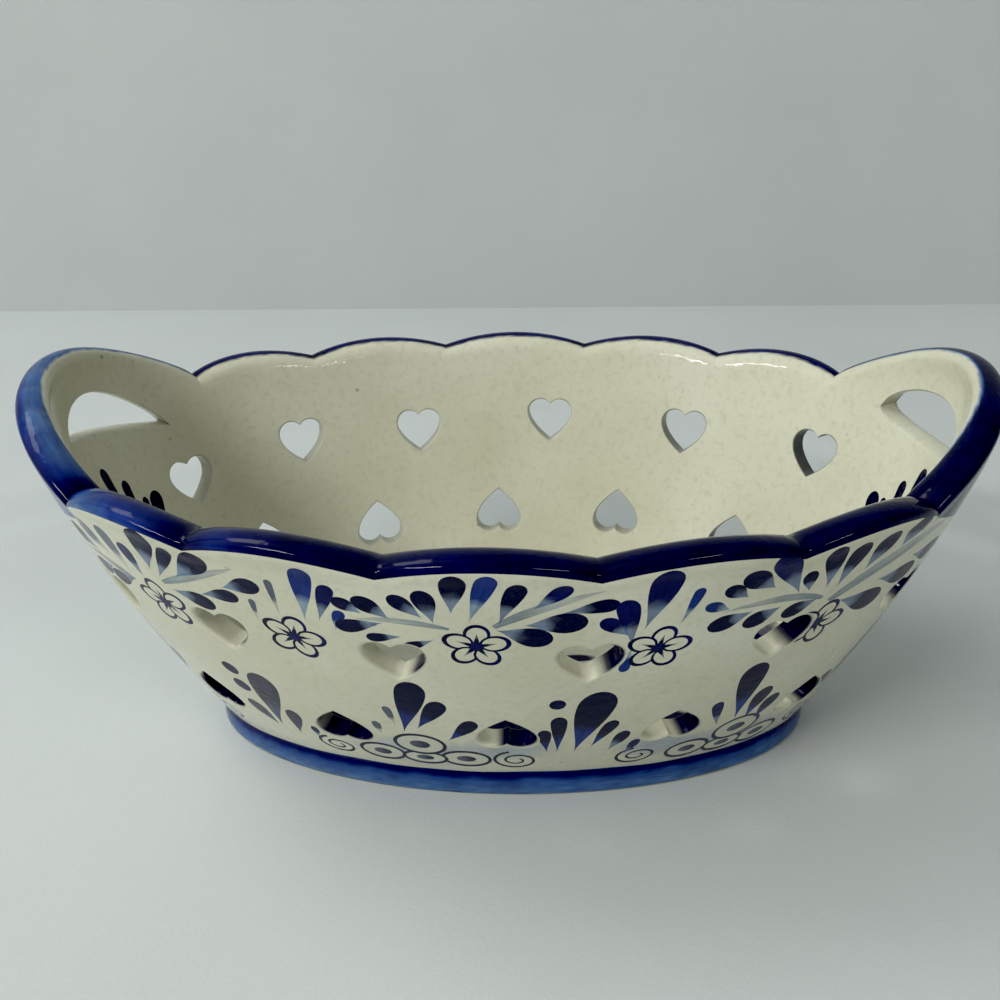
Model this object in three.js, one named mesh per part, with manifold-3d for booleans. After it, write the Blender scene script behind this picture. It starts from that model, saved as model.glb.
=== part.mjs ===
import * as THREE from 'three';
import { mergeVertices } from 'three/addons/utils/BufferGeometryUtils.js';
import Module from 'manifold-3d';

// A small oval basket dish in glazed earthenware. A flared wall pierced with two rows of hearts
// stands on a low oval foot. A rolled lip runs in scallops along both long sides, and at each end
// the wall sweeps up into a bow handle over a crescent finger slot.
// X runs along the dish, Y across it and Z up. The origin is on the table, under the middle.

// Driving dimensions in millimetres. Angles are in degrees of the oval's own parameter, from +X.
const RIM_LENGTH = 156;
const RIM_WIDTH = 103;
const RIM_HEIGHT = 56.5;
const FOOT_LENGTH = 109;
const FOOT_WIDTH = 53;
const FOOT_HEIGHT = 5;
const FOOT_RING_WIDTH = 8;
const FOOT_EDGE_ROUND = 1.2;
const WALL_THICKNESS = 4.2;
const WALL_SWELL = 1.7;
const FLOOR_THICKNESS = 4.5;
const FLOOR_COVE = 3.5;
const SEAM = 0.3;

// Lip and scallops.
const LIP_HEIGHT = 2.6;
const LIP_OVERHANG = 0.35;
const LIP_ROUND = 2.1;
const RIM_THICKENING = 1.8;
const RIM_THICKENING_DEPTH = 14;
const SCALLOPS_PER_SIDE = 5;
const FRONT_SCALLOP_RISE = 2.6;
const BACK_SCALLOP_RISE = 2;
const SCALLOP_BULGE = 0.9;
const SCALLOP_DEPTH = 18;
const CORNER_LIFT = 1.35;
const CORNER_ANGLE = -155;

// Handles. Each finger slot was cut by hand, so the two differ a little, and both sit nearer the back.
const HANDLE_HALF_ANGLE = 35.5;
const HANDLE_RISE = 12;
const HANDLE_FULLNESS = 0.8;
const HANDLE_UPRIGHT_AT = 7.5;
const LEFT_SLOT = {
  shift: 10, halfAngle: 16, tipHeight: 53, backDrop: 3, sillHeight: 53.6, archHeight: 60.2, fullness: 0.8,
};
const RIGHT_SLOT = {
  shift: 8, halfAngle: 15, tipHeight: 54, backDrop: 0, sillHeight: 51.7, archHeight: 59.3, fullness: 0.5,
};

// Hearts. The upper row stands upright under the scallop cusps, and the lower row hangs point up. They
// were cut by hand, nearly level, so each has its own place: angle, and height of its middle.
const HEART_WIDTH = 8.9;
const HEART_HEIGHT = 8.3;
const HEART_CLEFT = 1.1;
const HEART_FLANK = 0.45;
const HEART_DROOP = 8;
const UPPER_HEARTS = [
  [-149, 37.5], [-124.5, 39], [-101.5, 38], [-79, 38], [-54.5, 38], [-28.5, 37],
  [34, 42], [60.5, 41.5], [84, 42], [106.5, 40.5], [128, 41], [154, 39],
];
const LOWER_HEARTS = [
  [-141.5, 18.5], [-114.5, 18], [-89, 19.5], [-64, 19], [-36.5, 18],
  [45.5, 24], [70.5, 25.5], [93, 25], [116.5, 24], [142, 24],
];

// Facets.
const SCALLOP_STEPS = 6;
const SLOT_STEPS = 14;
const ROOT_STEP_ANGLE = 4;
const WALL_ROWS = 5;
const LIP_STEPS = 6;
const FOOT_COLUMNS = 72;
const HEART_CURVE_STEPS = 4;

const DEGREE = Math.PI / 180;
const FULL_TURN = 2 * Math.PI;
const NUDGE = 0.01;
const PUNCH_DEPTH = 4 * WALL_THICKNESS;
const HANDLE_REACH = HANDLE_HALF_ANGLE * DEGREE;
const SCALLOP_SPAN = (Math.PI - 2 * HANDLE_REACH) / SCALLOPS_PER_SIDE;

const CREAM_GLAZE = { color: 0xd9d5c2, roughness: 0.18, metalness: 0 };
const COBALT_GLAZE = { color: 0x16236b, roughness: 0.15, metalness: 0 };
const FOOT_GLAZE = { color: 0x5873ad, roughness: 0.25, metalness: 0 };

// Folds an angle to its distance from the nearer end of the dish, from 0 to a quarter turn.
function angleFromEnd(angle) {
  const folded = Math.abs(Math.atan2(Math.sin(angle), Math.cos(angle)));
  return Math.min(folded, Math.PI - folded);
}

function isOnHandle(angle) {
  return angleFromEnd(angle) < HANDLE_REACH;
}

// One at the crown of a scallop, zero at its cusps and along the handles.
function scallopArc(angle) {
  if (isOnHandle(angle)) return 0;
  const folded = Math.abs(Math.atan2(Math.sin(angle), Math.cos(angle)));
  const along = (folded - HANDLE_REACH) / SCALLOP_SPAN;
  const across = 2 * (along - Math.floor(along)) - 1;
  return 1 - across * across;
}

// Height of the scallops' cusps. The rim stands a little higher at its front left corner.
function rimHeight(angle) {
  const nearCorner = Math.max(Math.cos(angle - CORNER_ANGLE * DEGREE), 0);
  return RIM_HEIGHT + CORNER_LIFT * nearCorner ** 1.5;
}

// Zero at the middle of a handle, one at its ends and along the lips.
function handleShare(angle) {
  return Math.min(angleFromEnd(angle) / HANDLE_REACH, 1);
}

// Height of the lip's and the handles' top edge.
function crestHeight(angle) {
  const scallopRise = Math.sin(angle) < 0 ? FRONT_SCALLOP_RISE : BACK_SCALLOP_RISE;
  if (!isOnHandle(angle)) return rimHeight(angle) + scallopRise * scallopArc(angle);
  return rimHeight(angle) + HANDLE_RISE * Math.cos(handleShare(angle) * Math.PI / 2) ** HANDLE_FULLNESS;
}

// How far a scallop stands out from the wall.
function scallopBulge(angle, height) {
  const fade = Math.max(1 - (crestHeight(angle) - height) / SCALLOP_DEPTH, 0) ** 2;
  return SCALLOP_BULGE * scallopArc(angle) * fade;
}

// The wall thickens inward towards the front lip. Along the back its inner face is smooth, without the
// scallops of the outer one.
function thickness(angle, height) {
  const back = Math.max(Math.sin(angle), 0);
  const nearTop = Math.max(1 - (crestHeight(angle) - height) / RIM_THICKENING_DEPTH, 0);
  const thickening = RIM_THICKENING * (1 - back) * (handleShare(angle) * nearTop) ** 2;
  return WALL_THICKNESS + thickening + back * scallopBulge(angle, height);
}

// How far the wall has leaned out at a height. It swells a little, and turns upright up the handles,
// whose tops curl in again.
function leanOut(flare, height) {
  const wallHeight = RIM_HEIGHT - FOOT_HEIGHT;
  const share = Math.min((height - FOOT_HEIGHT) / wallHeight, 1);
  const above = Math.max(height - RIM_HEIGHT, 0);
  const slopeAtRim = (flare - 4 * WALL_SWELL) / wallHeight;
  const upright = slopeAtRim * above * (1 - above / (2 * HANDLE_UPRIGHT_AT));
  return flare * share + 4 * WALL_SWELL * share * (1 - share) + upright;
}

// A point set in from an oval along its normal.
function ovalPoint(halfLength, halfWidth, angle, inset, height) {
  const normal = new THREE.Vector2(halfWidth * Math.cos(angle), halfLength * Math.sin(angle)).normalize();
  const x = halfLength * Math.cos(angle) - inset * normal.x;
  const y = halfWidth * Math.sin(angle) - inset * normal.y;
  return new THREE.Vector3(x, y, height);
}

// A point of the wall, set in from its outer face.
function wallPoint(angle, height, inset) {
  const halfLength = FOOT_LENGTH / 2 + leanOut((RIM_LENGTH - FOOT_LENGTH) / 2, height);
  const halfWidth = FOOT_WIDTH / 2 + leanOut((RIM_WIDTH - FOOT_WIDTH) / 2, height);
  return ovalPoint(halfLength, halfWidth, angle, inset - scallopBulge(angle, height), height);
}

function slotAt(angle) {
  return Math.cos(angle) > 0 ? RIGHT_SLOT : LEFT_SLOT;
}

// Height of the crest at the nearest end of a handle.
function valleyHeight(angle) {
  const reach = Math.cos(angle) > 0 ? HANDLE_REACH : Math.PI - HANDLE_REACH;
  return rimHeight(Math.sin(angle) < 0 ? -reach : reach);
}

// Angles of a slot's front and back tips from the end of the dish, and the heights of those tips.
function slotTips(slot) {
  return {
    front: (slot.shift - slot.halfAngle) * DEGREE,
    back: (slot.shift + slot.halfAngle) * DEGREE,
    frontHeight: slot.tipHeight + slot.backDrop,
    backHeight: slot.tipHeight - slot.backDrop,
  };
}

// Height of one edge of a finger slot. Past the slot's tips it is the seam from tip to lip.
function slotEdgeHeight(angle, edgeHeight) {
  const slot = slotAt(angle);
  const tips = slotTips(slot);
  const towardsBack = Math.sin(angle) < 0 ? -angleFromEnd(angle) : angleFromEnd(angle);
  const seamEnd = valleyHeight(angle) - LIP_HEIGHT;
  if (towardsBack >= tips.back) {
    return THREE.MathUtils.mapLinear(towardsBack, tips.back, HANDLE_REACH, tips.backHeight, seamEnd);
  }
  if (towardsBack <= tips.front) {
    return THREE.MathUtils.mapLinear(towardsBack, tips.front, -HANDLE_REACH, tips.frontHeight, seamEnd);
  }
  const share = (towardsBack / DEGREE - slot.shift) / slot.halfAngle;
  const arch = Math.max(Math.cos(share * Math.PI / 2), 0) ** slot.fullness;
  return slot.tipHeight - slot.backDrop * share + (edgeHeight - slot.tipHeight) * arch;
}

// Underside of the lip and of the handle bows.
function lipUnderside(angle) {
  if (!isOnHandle(angle)) return crestHeight(angle) - LIP_HEIGHT;
  return slotEdgeHeight(angle, slotAt(angle).archHeight);
}

// Top edge of the pierced wall, a seam below whatever it carries.
function wallTop(angle) {
  if (!isOnHandle(angle)) return crestHeight(angle) - LIP_HEIGHT - SEAM;
  return slotEdgeHeight(angle, slotAt(angle).sillHeight) - SEAM;
}

// Even steps from one angle to another, with the first but not the last.
function steps(from, to, count) {
  return Array.from({ length: count }, (_, i) => from + (to - from) * i / count);
}

// Angles across one handle, closer over the slot, from one end of the bow to the other.
function handleAngles(middle, slot, reach) {
  const tips = slotTips(slot);
  const turned = middle === 0 ? [tips.front, tips.back] : [-tips.back, -tips.front];
  const [first, last] = turned.map((tip) => middle + tip);
  const rootSteps = (from, to) => steps(from, to, Math.round((to - from) / (ROOT_STEP_ANGLE * DEGREE)));
  return [
    ...rootSteps(middle - reach, first),
    ...steps(first, last, SLOT_STEPS),
    ...rootSteps(last, middle + reach),
  ];
}

// Angles right round the dish, with a column on every cusp and slot tip.
function wallAngles() {
  const scallopColumns = SCALLOPS_PER_SIDE * SCALLOP_STEPS;
  return [
    ...handleAngles(0, RIGHT_SLOT, HANDLE_REACH),
    ...steps(HANDLE_REACH, Math.PI - HANDLE_REACH, scallopColumns),
    ...handleAngles(Math.PI, LEFT_SLOT, HANDLE_REACH),
    ...steps(Math.PI + HANDLE_REACH, FULL_TURN - HANDLE_REACH, scallopColumns),
  ];
}

function signedVolume(positions, faces) {
  const corner = (i) => new THREE.Vector3().fromArray(positions, 3 * i);
  let volume = 0;
  for (let i = 0; i < faces.length; i += 3) {
    volume += corner(faces[i]).dot(corner(faces[i + 1]).cross(corner(faces[i + 2]))) / 6;
  }
  return volume;
}

// Joins closed outlines of equal point count into one solid. A closed loft ends where it began,
// and an open one has a flat fan over each end.
function loft(outlines, closed) {
  const count = outlines[0].length;
  const points = outlines.flat();
  const faces = [];
  const spans = closed ? outlines.length : outlines.length - 1;
  for (let i = 0; i < spans; i++) {
    const near = i * count;
    const far = ((i + 1) % outlines.length) * count;
    for (let k = 0; k < count; k++) {
      const next = (k + 1) % count;
      faces.push(near + k, near + next, far + next);
      faces.push(near + k, far + next, far + k);
    }
  }
  if (!closed) {
    const last = (outlines.length - 1) * count;
    const firstHub = points.push(middleOf(outlines[0])) - 1;
    const lastHub = points.push(middleOf(outlines[outlines.length - 1])) - 1;
    for (let k = 0; k < count; k++) {
      const next = (k + 1) % count;
      faces.push(firstHub, next, k);
      faces.push(lastHub, last + k, last + next);
    }
  }
  const positions = points.flatMap((point) => point.toArray());
  if (signedVolume(positions, faces) < 0) faces.reverse();
  const geometry = new THREE.BufferGeometry();
  geometry.setAttribute('position', new THREE.Float32BufferAttribute(positions, 3));
  geometry.setIndex(faces);
  return geometry;
}

function middleOf(outline) {
  const sum = outline.reduce((total, point) => total.add(point), new THREE.Vector3());
  return sum.divideScalar(outline.length);
}

// Foot: an oval ring with softened lower edges, hollow under the floor.
function footRing() {
  const diagonal = FOOT_EDGE_ROUND * (1 - Math.SQRT1_2);
  const profile = [
    [0, FOOT_HEIGHT],
    [0, FOOT_EDGE_ROUND],
    [diagonal, diagonal],
    [FOOT_EDGE_ROUND, 0],
    [FOOT_RING_WIDTH / 2, 0],
    [FOOT_RING_WIDTH / 2 + FOOT_EDGE_ROUND, FOOT_EDGE_ROUND],
    [FOOT_RING_WIDTH, FOOT_HEIGHT],
  ];
  const outlines = steps(0, FULL_TURN, FOOT_COLUMNS).map((angle) =>
    profile.map(([inset, height]) => ovalPoint(FOOT_LENGTH / 2, FOOT_WIDTH / 2, angle, inset, height)));
  return loft(outlines, true);
}

// Floor: a slab that lies on the foot ring inside the wall, coved up to the wall at its edge.
function floorSlab() {
  const top = FOOT_HEIGHT + FLOOR_THICKNESS;
  const edge = WALL_THICKNESS + SEAM;
  const profile = [
    [edge, FOOT_HEIGHT],
    [edge, top],
    [edge, top + FLOOR_COVE],
    [edge + FLOOR_COVE * (1 - Math.SQRT1_2), top + FLOOR_COVE * (1 - Math.SQRT1_2)],
    [edge + FLOOR_COVE, top],
  ];
  const angles = steps(0, FULL_TURN, FOOT_COLUMNS);
  const ovals = profile.map(([inset, height]) => angles.map((angle) => wallPoint(angle, height, inset)));
  return loft(ovals, false);
}

// Wall: bottom to top up the outer face, then top to bottom down the inner one.
function plainWall() {
  const rows = Array.from({ length: WALL_ROWS + 1 }, (_, i) => i / WALL_ROWS);
  const outlines = wallAngles().map((angle) => {
    const top = wallTop(angle);
    const heights = rows.map((share) => THREE.MathUtils.lerp(FOOT_HEIGHT, top, share));
    const outer = heights.map((height) => wallPoint(angle, height, 0));
    const inner = heights.reverse().map((height) => wallPoint(angle, height, thickness(angle, height)));
    return [...outer, ...inner];
  });
  return loft(outlines, true);
}

// A heart, point down, centred on its own middle: two round lobes that meet in the cleft, and curved
// flanks down to the point.
function heartShape() {
  const half = HEART_WIDTH / 2;
  const tip = -HEART_HEIGHT / 2;
  const lobe = half + HEART_CLEFT - Math.sqrt(2 * half * HEART_CLEFT);
  const lobeMiddle = half - lobe;
  const lobeHeight = HEART_HEIGHT / 2 - lobe;
  const cleftTurn = Math.PI - Math.acos(lobeMiddle / lobe);
  const flank = THREE.MathUtils.lerp(lobeHeight, tip, HEART_FLANK);
  const shape = new THREE.Shape();
  shape.moveTo(0, tip);
  shape.quadraticCurveTo(half, flank, half, lobeHeight);
  shape.absarc(lobeMiddle, lobeHeight, lobe, 0, cleftTurn, false);
  shape.absarc(-lobeMiddle, lobeHeight, lobe, Math.PI - cleftTurn, Math.PI, false);
  shape.quadraticCurveTo(-half, flank, 0, tip);
  return shape;
}

// A heart-shaped punch through the wall at one place. It points a little below level on its way out.
function heartPunch(angle, height, tipUp) {
  const before = wallPoint(angle - NUDGE, height, 0);
  const along = wallPoint(angle + NUDGE, height, 0).sub(before).setZ(0).normalize();
  const out = new THREE.Vector3(along.y, -along.x, -Math.tan(HEART_DROOP * DEGREE)).normalize();
  const upright = new THREE.Vector3().crossVectors(out, along);
  const punch = new THREE.ExtrudeGeometry(heartShape(), {
    depth: PUNCH_DEPTH, bevelEnabled: false, curveSegments: HEART_CURVE_STEPS,
  });
  punch.translate(0, 0, -PUNCH_DEPTH / 2);
  if (tipUp) punch.rotateZ(Math.PI);
  const frame = new THREE.Matrix4().makeBasis(along, upright, out);
  frame.setPosition(wallPoint(angle, height, WALL_THICKNESS / 2));
  return punch.applyMatrix4(frame);
}

const wasm = await Module();
wasm.setup();

function toSolid(geometry) {
  const bare = geometry.clone();
  bare.deleteAttribute('normal');
  bare.deleteAttribute('uv');
  const welded = mergeVertices(bare);
  return new wasm.Manifold(new wasm.Mesh({
    numProp: 3,
    vertProperties: new Float32Array(welded.attributes.position.array),
    triVerts: new Uint32Array(welded.index.array),
  }));
}

function toGeometry(solid) {
  const mesh = solid.getMesh();
  const geometry = new THREE.BufferGeometry();
  geometry.setAttribute('position', new THREE.BufferAttribute(mesh.vertProperties, 3));
  geometry.setIndex(new THREE.BufferAttribute(mesh.triVerts, 1));
  return geometry;
}

function piercedWall() {
  const punches = [
    ...UPPER_HEARTS.map(([angle, height]) => heartPunch(angle * DEGREE, height, false)),
    ...LOWER_HEARTS.map(([angle, height]) => heartPunch(angle * DEGREE, height, true)),
  ];
  const pierced = punches.reduce((wall, punch) => wall.subtract(toSolid(punch)), toSolid(plainWall()));
  return toGeometry(pierced);
}

// Section of the lip or of a handle bow: up the outer face, over the round top, down the inner face.
function lipOutline(angle) {
  const under = lipUnderside(angle);
  const shoulder = crestHeight(angle) - LIP_ROUND;
  const halfway = (under + shoulder) / 2;
  const innerFace = thickness(angle, shoulder) + LIP_OVERHANG;
  const innerFoot = thickness(angle, under);
  const middle = (innerFace - LIP_OVERHANG) / 2;
  const reach = (innerFace + LIP_OVERHANG) / 2;
  const round = Array.from({ length: LIP_STEPS - 1 }, (_, i) => {
    const turn = Math.PI * (i + 1) / LIP_STEPS;
    return [middle - reach * Math.cos(turn), shoulder + LIP_ROUND * Math.sin(turn)];
  });
  const section = [
    [0, under],
    [-LIP_OVERHANG / 2, halfway],
    [-LIP_OVERHANG, shoulder],
    ...round,
    [innerFace, shoulder],
    [(innerFace + innerFoot) / 2, halfway],
    [innerFoot, under],
  ];
  return section.map(([inset, height]) => wallPoint(angle, height, inset));
}

// Half the seam between the lip's end and the handle's, as an angle at that place.
function halfSeamAngle() {
  const inset = WALL_THICKNESS + RIM_THICKENING;
  const here = wallPoint(HANDLE_REACH, RIM_HEIGHT, inset);
  const there = wallPoint(HANDLE_REACH - NUDGE, RIM_HEIGHT, inset);
  return NUDGE * (SEAM / 2) / here.distanceTo(there);
}

// Lip along one long side, from handle to handle.
function scallopedLip(middle) {
  const half = Math.PI / 2 - HANDLE_REACH - halfSeamAngle();
  const count = SCALLOPS_PER_SIDE * SCALLOP_STEPS;
  const angles = [...steps(middle - half, middle + half, count), middle + half];
  return loft(angles.map(lipOutline), false);
}

// Handle bow, from lip to lip over its finger slot.
function handleBow(middle, slot) {
  const reach = HANDLE_REACH - halfSeamAngle();
  const angles = [...handleAngles(middle, slot, reach), middle + reach];
  return loft(angles.map(lipOutline), false);
}

function piece(name, geometry, finish) {
  geometry.computeVertexNormals();
  const mesh = new THREE.Mesh(geometry, new THREE.MeshStandardMaterial(finish));
  mesh.name = name;
  return mesh;
}

const dish = new THREE.Group();
dish.add(
  piece('foot_ring', footRing(), FOOT_GLAZE),
  piece('floor', floorSlab(), CREAM_GLAZE),
  piece('pierced_wall', piercedWall(), CREAM_GLAZE),
  piece('front_lip', scallopedLip(-Math.PI / 2), COBALT_GLAZE),
  piece('back_lip', scallopedLip(Math.PI / 2), COBALT_GLAZE),
  piece('left_handle', handleBow(Math.PI, LEFT_SLOT), COBALT_GLAZE),
  piece('right_handle', handleBow(0, RIGHT_SLOT), COBALT_GLAZE),
);

export default dish;
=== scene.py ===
import math

import bmesh
import bpy
import numpy as np
from mathutils import Matrix, Vector
from mathutils.geometry import delaunay_2d_cdt


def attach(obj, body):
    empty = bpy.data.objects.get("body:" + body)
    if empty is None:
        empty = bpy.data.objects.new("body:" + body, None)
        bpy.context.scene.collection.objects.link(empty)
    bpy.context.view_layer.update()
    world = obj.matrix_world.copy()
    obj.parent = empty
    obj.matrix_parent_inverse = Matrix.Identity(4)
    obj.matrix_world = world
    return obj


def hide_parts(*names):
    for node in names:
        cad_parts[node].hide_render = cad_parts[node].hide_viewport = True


# A small oval basket dish in glazed earthenware, painted in cobalt. Each sub-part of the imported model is
# replaced by a finely shaped piece in the same place. Lengths are in millimetres until a mesh is made.

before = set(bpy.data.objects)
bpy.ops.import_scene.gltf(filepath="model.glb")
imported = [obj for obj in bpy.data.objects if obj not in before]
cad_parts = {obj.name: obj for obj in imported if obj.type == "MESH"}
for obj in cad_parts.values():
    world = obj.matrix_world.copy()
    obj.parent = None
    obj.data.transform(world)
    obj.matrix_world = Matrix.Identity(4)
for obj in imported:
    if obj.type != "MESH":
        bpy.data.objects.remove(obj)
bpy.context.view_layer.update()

MM = 0.001
DEGREE = math.pi / 180
FULL_TURN = 2 * math.pi
NUDGE = 1e-3

# Body, as in the solids.
RIM_LENGTH = 156.0
RIM_WIDTH = 103.0
RIM_HEIGHT = 56.5
FOOT_LENGTH = 109.0
FOOT_WIDTH = 53.0
FOOT_HEIGHT = 5.0
FOOT_RING_WIDTH = 8.0
FOOT_EDGE_ROUND = 1.2
WALL_THICKNESS = 4.2
WALL_SWELL = 1.7
FLOOR_THICKNESS = 4.5
FLOOR_COVE = 3.5

# Lip and scallops.
LIP_OVERHANG = 0.35
LIP_ROUND = 2.1
LIP_SWELL_DEPTH = 5.0
LIP_BAND = 1.9
RIM_THICKENING = 1.8
RIM_THICKENING_DEPTH = 14.0
CORNER_LIFT = 1.35
CORNER_AT = -155 * DEGREE
SCALLOPS_PER_SIDE = 5
FRONT_SCALLOP_RISE = 2.6
BACK_SCALLOP_RISE = 2.0
SCALLOP_BULGE = 0.9
SCALLOP_DEPTH = 18.0

# Handles and finger slots.
HANDLE_REACH = 35.5 * DEGREE
HANDLE_RISE = 12.0
HANDLE_FULLNESS = 0.8
HANDLE_UPRIGHT_AT = 7.5
LEFT_SLOT = {
    "shift": 10 * DEGREE, "half_angle": 16 * DEGREE, "tip": 53.0, "back_drop": 3.0,
    "sill": 53.6, "arch": 60.2, "fullness": 0.8,
}
RIGHT_SLOT = {
    "shift": 8 * DEGREE, "half_angle": 15 * DEGREE, "tip": 54.0, "back_drop": 0.0,
    "sill": 51.7, "arch": 59.3, "fullness": 0.5,
}
SLOT_EDGE_ROUND = 0.6
SCALLOP_SPAN = (math.pi - 2 * HANDLE_REACH) / SCALLOPS_PER_SIDE

# Hearts: angle, and height of the middle. The upper row is upright and the lower one hangs point up.
HEART_WIDTH = 8.9
HEART_HEIGHT = 8.3
HEART_CLEFT = 1.1
HEART_FLANK = 0.45
HEART_DROOP = 8 * DEGREE
OUTER_HEART_ROUND = 0.75
INNER_HEART_ROUND = 0.4
UPPER_HEARTS = [
    (-149, 37.5), (-124.5, 39), (-101.5, 38), (-79, 38), (-54.5, 38), (-28.5, 37),
    (34, 42), (60.5, 41.5), (84, 42), (106.5, 40.5), (128, 41), (154, 39),
]
LOWER_HEARTS = [
    (-141.5, 18.5), (-114.5, 18), (-89, 19.5), (-64, 19), (-36.5, 18),
    (45.5, 24), (70.5, 25.5), (93, 25), (116.5, 24), (142, 24),
]
FRONT_MIDDLE = -90 * DEGREE

# Fineness of the meshes.
SCALLOP_STEPS = 24
ROOT_STEP = 1.3 * DEGREE
SLOT_STEPS = 40
LIP_ROWS = 20
HANDLE_FACE_ROWS = 8
EDGE_ROWS = 8
ROUND_STEPS = 4
HEART_ARC_STEPS = 14
HEART_FLANK_STEPS = 8
SHEET_SPACING = 1.6
CDT_EPSILON = 1e-6
WELD = 2e-6
JOINT_CLEAR = 1e-9


# Form of the dish

def folded(angle):
    return np.abs(np.arctan2(np.sin(angle), np.cos(angle)))


def angle_from_end(angle):
    """Distance of an angle from the nearer end of the dish, from 0 to a quarter turn."""
    return np.minimum(folded(angle), math.pi - folded(angle))


def scallop_arc(angle):
    """One at the crown of a scallop, zero at its cusps and along the handles."""
    along = (folded(angle) - HANDLE_REACH) / SCALLOP_SPAN
    across = 2 * (along - np.floor(along)) - 1
    return np.where(angle_from_end(angle) < HANDLE_REACH, 0.0, 1 - across ** 2)


def rim_height(angle):
    """Height of the scallops' cusps. The rim stands a little higher at its front left corner."""
    return RIM_HEIGHT + CORNER_LIFT * np.maximum(np.cos(angle - CORNER_AT), 0) ** 1.5


def handle_share(angle):
    """Zero at the middle of a handle, one at its ends and along the lips."""
    return np.minimum(angle_from_end(angle) / HANDLE_REACH, 1)


def crest_height(angle):
    bow = np.maximum(np.cos(handle_share(angle) * math.pi / 2), 0) ** HANDLE_FULLNESS
    rise = np.where(np.sin(angle) < 0, FRONT_SCALLOP_RISE, BACK_SCALLOP_RISE)
    return rim_height(angle) + rise * scallop_arc(angle) + HANDLE_RISE * bow


def lean_out(flare, height):
    wall_height = RIM_HEIGHT - FOOT_HEIGHT
    share = np.minimum((height - FOOT_HEIGHT) / wall_height, 1)
    above = np.maximum(height - RIM_HEIGHT, 0)
    slope_at_rim = (flare - 4 * WALL_SWELL) / wall_height
    upright = slope_at_rim * above * (1 - above / (2 * HANDLE_UPRIGHT_AT))
    return flare * share + 4 * WALL_SWELL * share * (1 - share) + upright


def oval_point(half_length, half_width, angle, inset, height):
    """A point set in from an oval along its normal."""
    across = half_width * np.cos(angle)
    along = half_length * np.sin(angle)
    size = np.hypot(across, along)
    x = half_length * np.cos(angle) - inset * across / size
    y = half_width * np.sin(angle) - inset * along / size
    return np.stack(np.broadcast_arrays(x, y, height), axis=-1)


def scallop_bulge(angle, height):
    """How far a scallop stands out from the wall."""
    fade = np.maximum(1 - (crest_height(angle) - height) / SCALLOP_DEPTH, 0) ** 2
    return SCALLOP_BULGE * scallop_arc(angle) * fade


def wall_point(angle, height, inset):
    """A point of the wall, set in from its outer face."""
    half_length = FOOT_LENGTH / 2 + lean_out((RIM_LENGTH - FOOT_LENGTH) / 2, height)
    half_width = FOOT_WIDTH / 2 + lean_out((RIM_WIDTH - FOOT_WIDTH) / 2, height)
    return oval_point(half_length, half_width, angle, inset - scallop_bulge(angle, height), height)


def smooth_step(low, high, value):
    share = np.clip((value - low) / (high - low), 0, 1)
    return share * share * (3 - 2 * share)


def behind(angle):
    """One along the back and zero along the front."""
    return smooth_step(0, 0.45, np.sin(angle))


def thickness(angle, height):
    """The wall thickens inward towards the front lip. Along the back its inner face has no scallops."""
    back = behind(angle)
    near_top = np.maximum(1 - (crest_height(angle) - height) / RIM_THICKENING_DEPTH, 0)
    thickening = RIM_THICKENING * (1 - back) * (handle_share(angle) * near_top) ** 2
    return WALL_THICKNESS + thickening + back * scallop_bulge(angle, height)


def roll(angle):
    """Middle and half width of the roll over the top of the lip, as insets."""
    inner = thickness(angle, crest_height(angle) - LIP_ROUND) + LIP_OVERHANG * (1 - behind(angle))
    return (inner - LIP_OVERHANG) / 2, (inner + LIP_OVERHANG) / 2


def face_insets(angle, height):
    """Insets of the outer and inner faces, which swell under the lip and roll over it to the crest."""
    below = crest_height(angle) - height
    swell = LIP_OVERHANG * smooth_step(LIP_SWELL_DEPTH, LIP_ROUND, below)
    up_the_roll = np.clip((LIP_ROUND - below) / LIP_ROUND, 0, 1)
    middle, reach = roll(angle)
    half = reach * np.sqrt(1 - up_the_roll ** 2)
    on_roll = below < LIP_ROUND
    outer = np.where(on_roll, middle - half, -swell)
    inner = np.where(on_roll, middle + half, thickness(angle, height) + swell * (1 - behind(angle)))
    return outer, inner


def outer_point(angle, height):
    return wall_point(angle, height, face_insets(angle, height)[0])


def inner_point(angle, height):
    return wall_point(angle, height, face_insets(angle, height)[1])


def slot_value(angle, name):
    return np.where(np.cos(angle) > 0, RIGHT_SLOT[name], LEFT_SLOT[name])


def valley_height(angle):
    """Height of the crest at the nearest end of a handle."""
    side = np.where(np.sin(angle) < 0, -1, 1)
    return rim_height(side * np.where(np.cos(angle) > 0, HANDLE_REACH, math.pi - HANDLE_REACH))


def slot_share(angle):
    """Place along a finger slot: 1 at its back tip and -1 at its front one."""
    towards_back = np.where(np.sin(angle) < 0, -1, 1) * angle_from_end(angle)
    return (towards_back - slot_value(angle, "shift")) / slot_value(angle, "half_angle")


def slot_edge(angle, name):
    """Height of one edge of a finger slot. Past the slot's tips it is the seam from tip to lip."""
    share = slot_share(angle)
    within = np.clip(share, -1, 1)
    tip_height = slot_value(angle, "tip")
    tip_line = tip_height - slot_value(angle, "back_drop") * within
    bow = np.maximum(np.cos(within * math.pi / 2), 0) ** slot_value(angle, "fullness")
    inside = tip_line + (slot_value(angle, name) - tip_height) * bow
    side = np.where(share < 0, -1, 1)
    lip_share = (side * HANDLE_REACH - slot_value(angle, "shift")) / slot_value(angle, "half_angle")
    seam = (share - within) / (lip_share - side)
    outside = tip_line + (valley_height(angle) - LIP_BAND - tip_line) * seam
    return np.where(np.abs(share) < 1, inside, outside)


def slot_round(angle):
    """How softly a slot's edges are rounded. It dies away at the slot's tips."""
    return SLOT_EDGE_ROUND * (1 - np.minimum(np.abs(slot_share(angle)), 1) ** 4)


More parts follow.
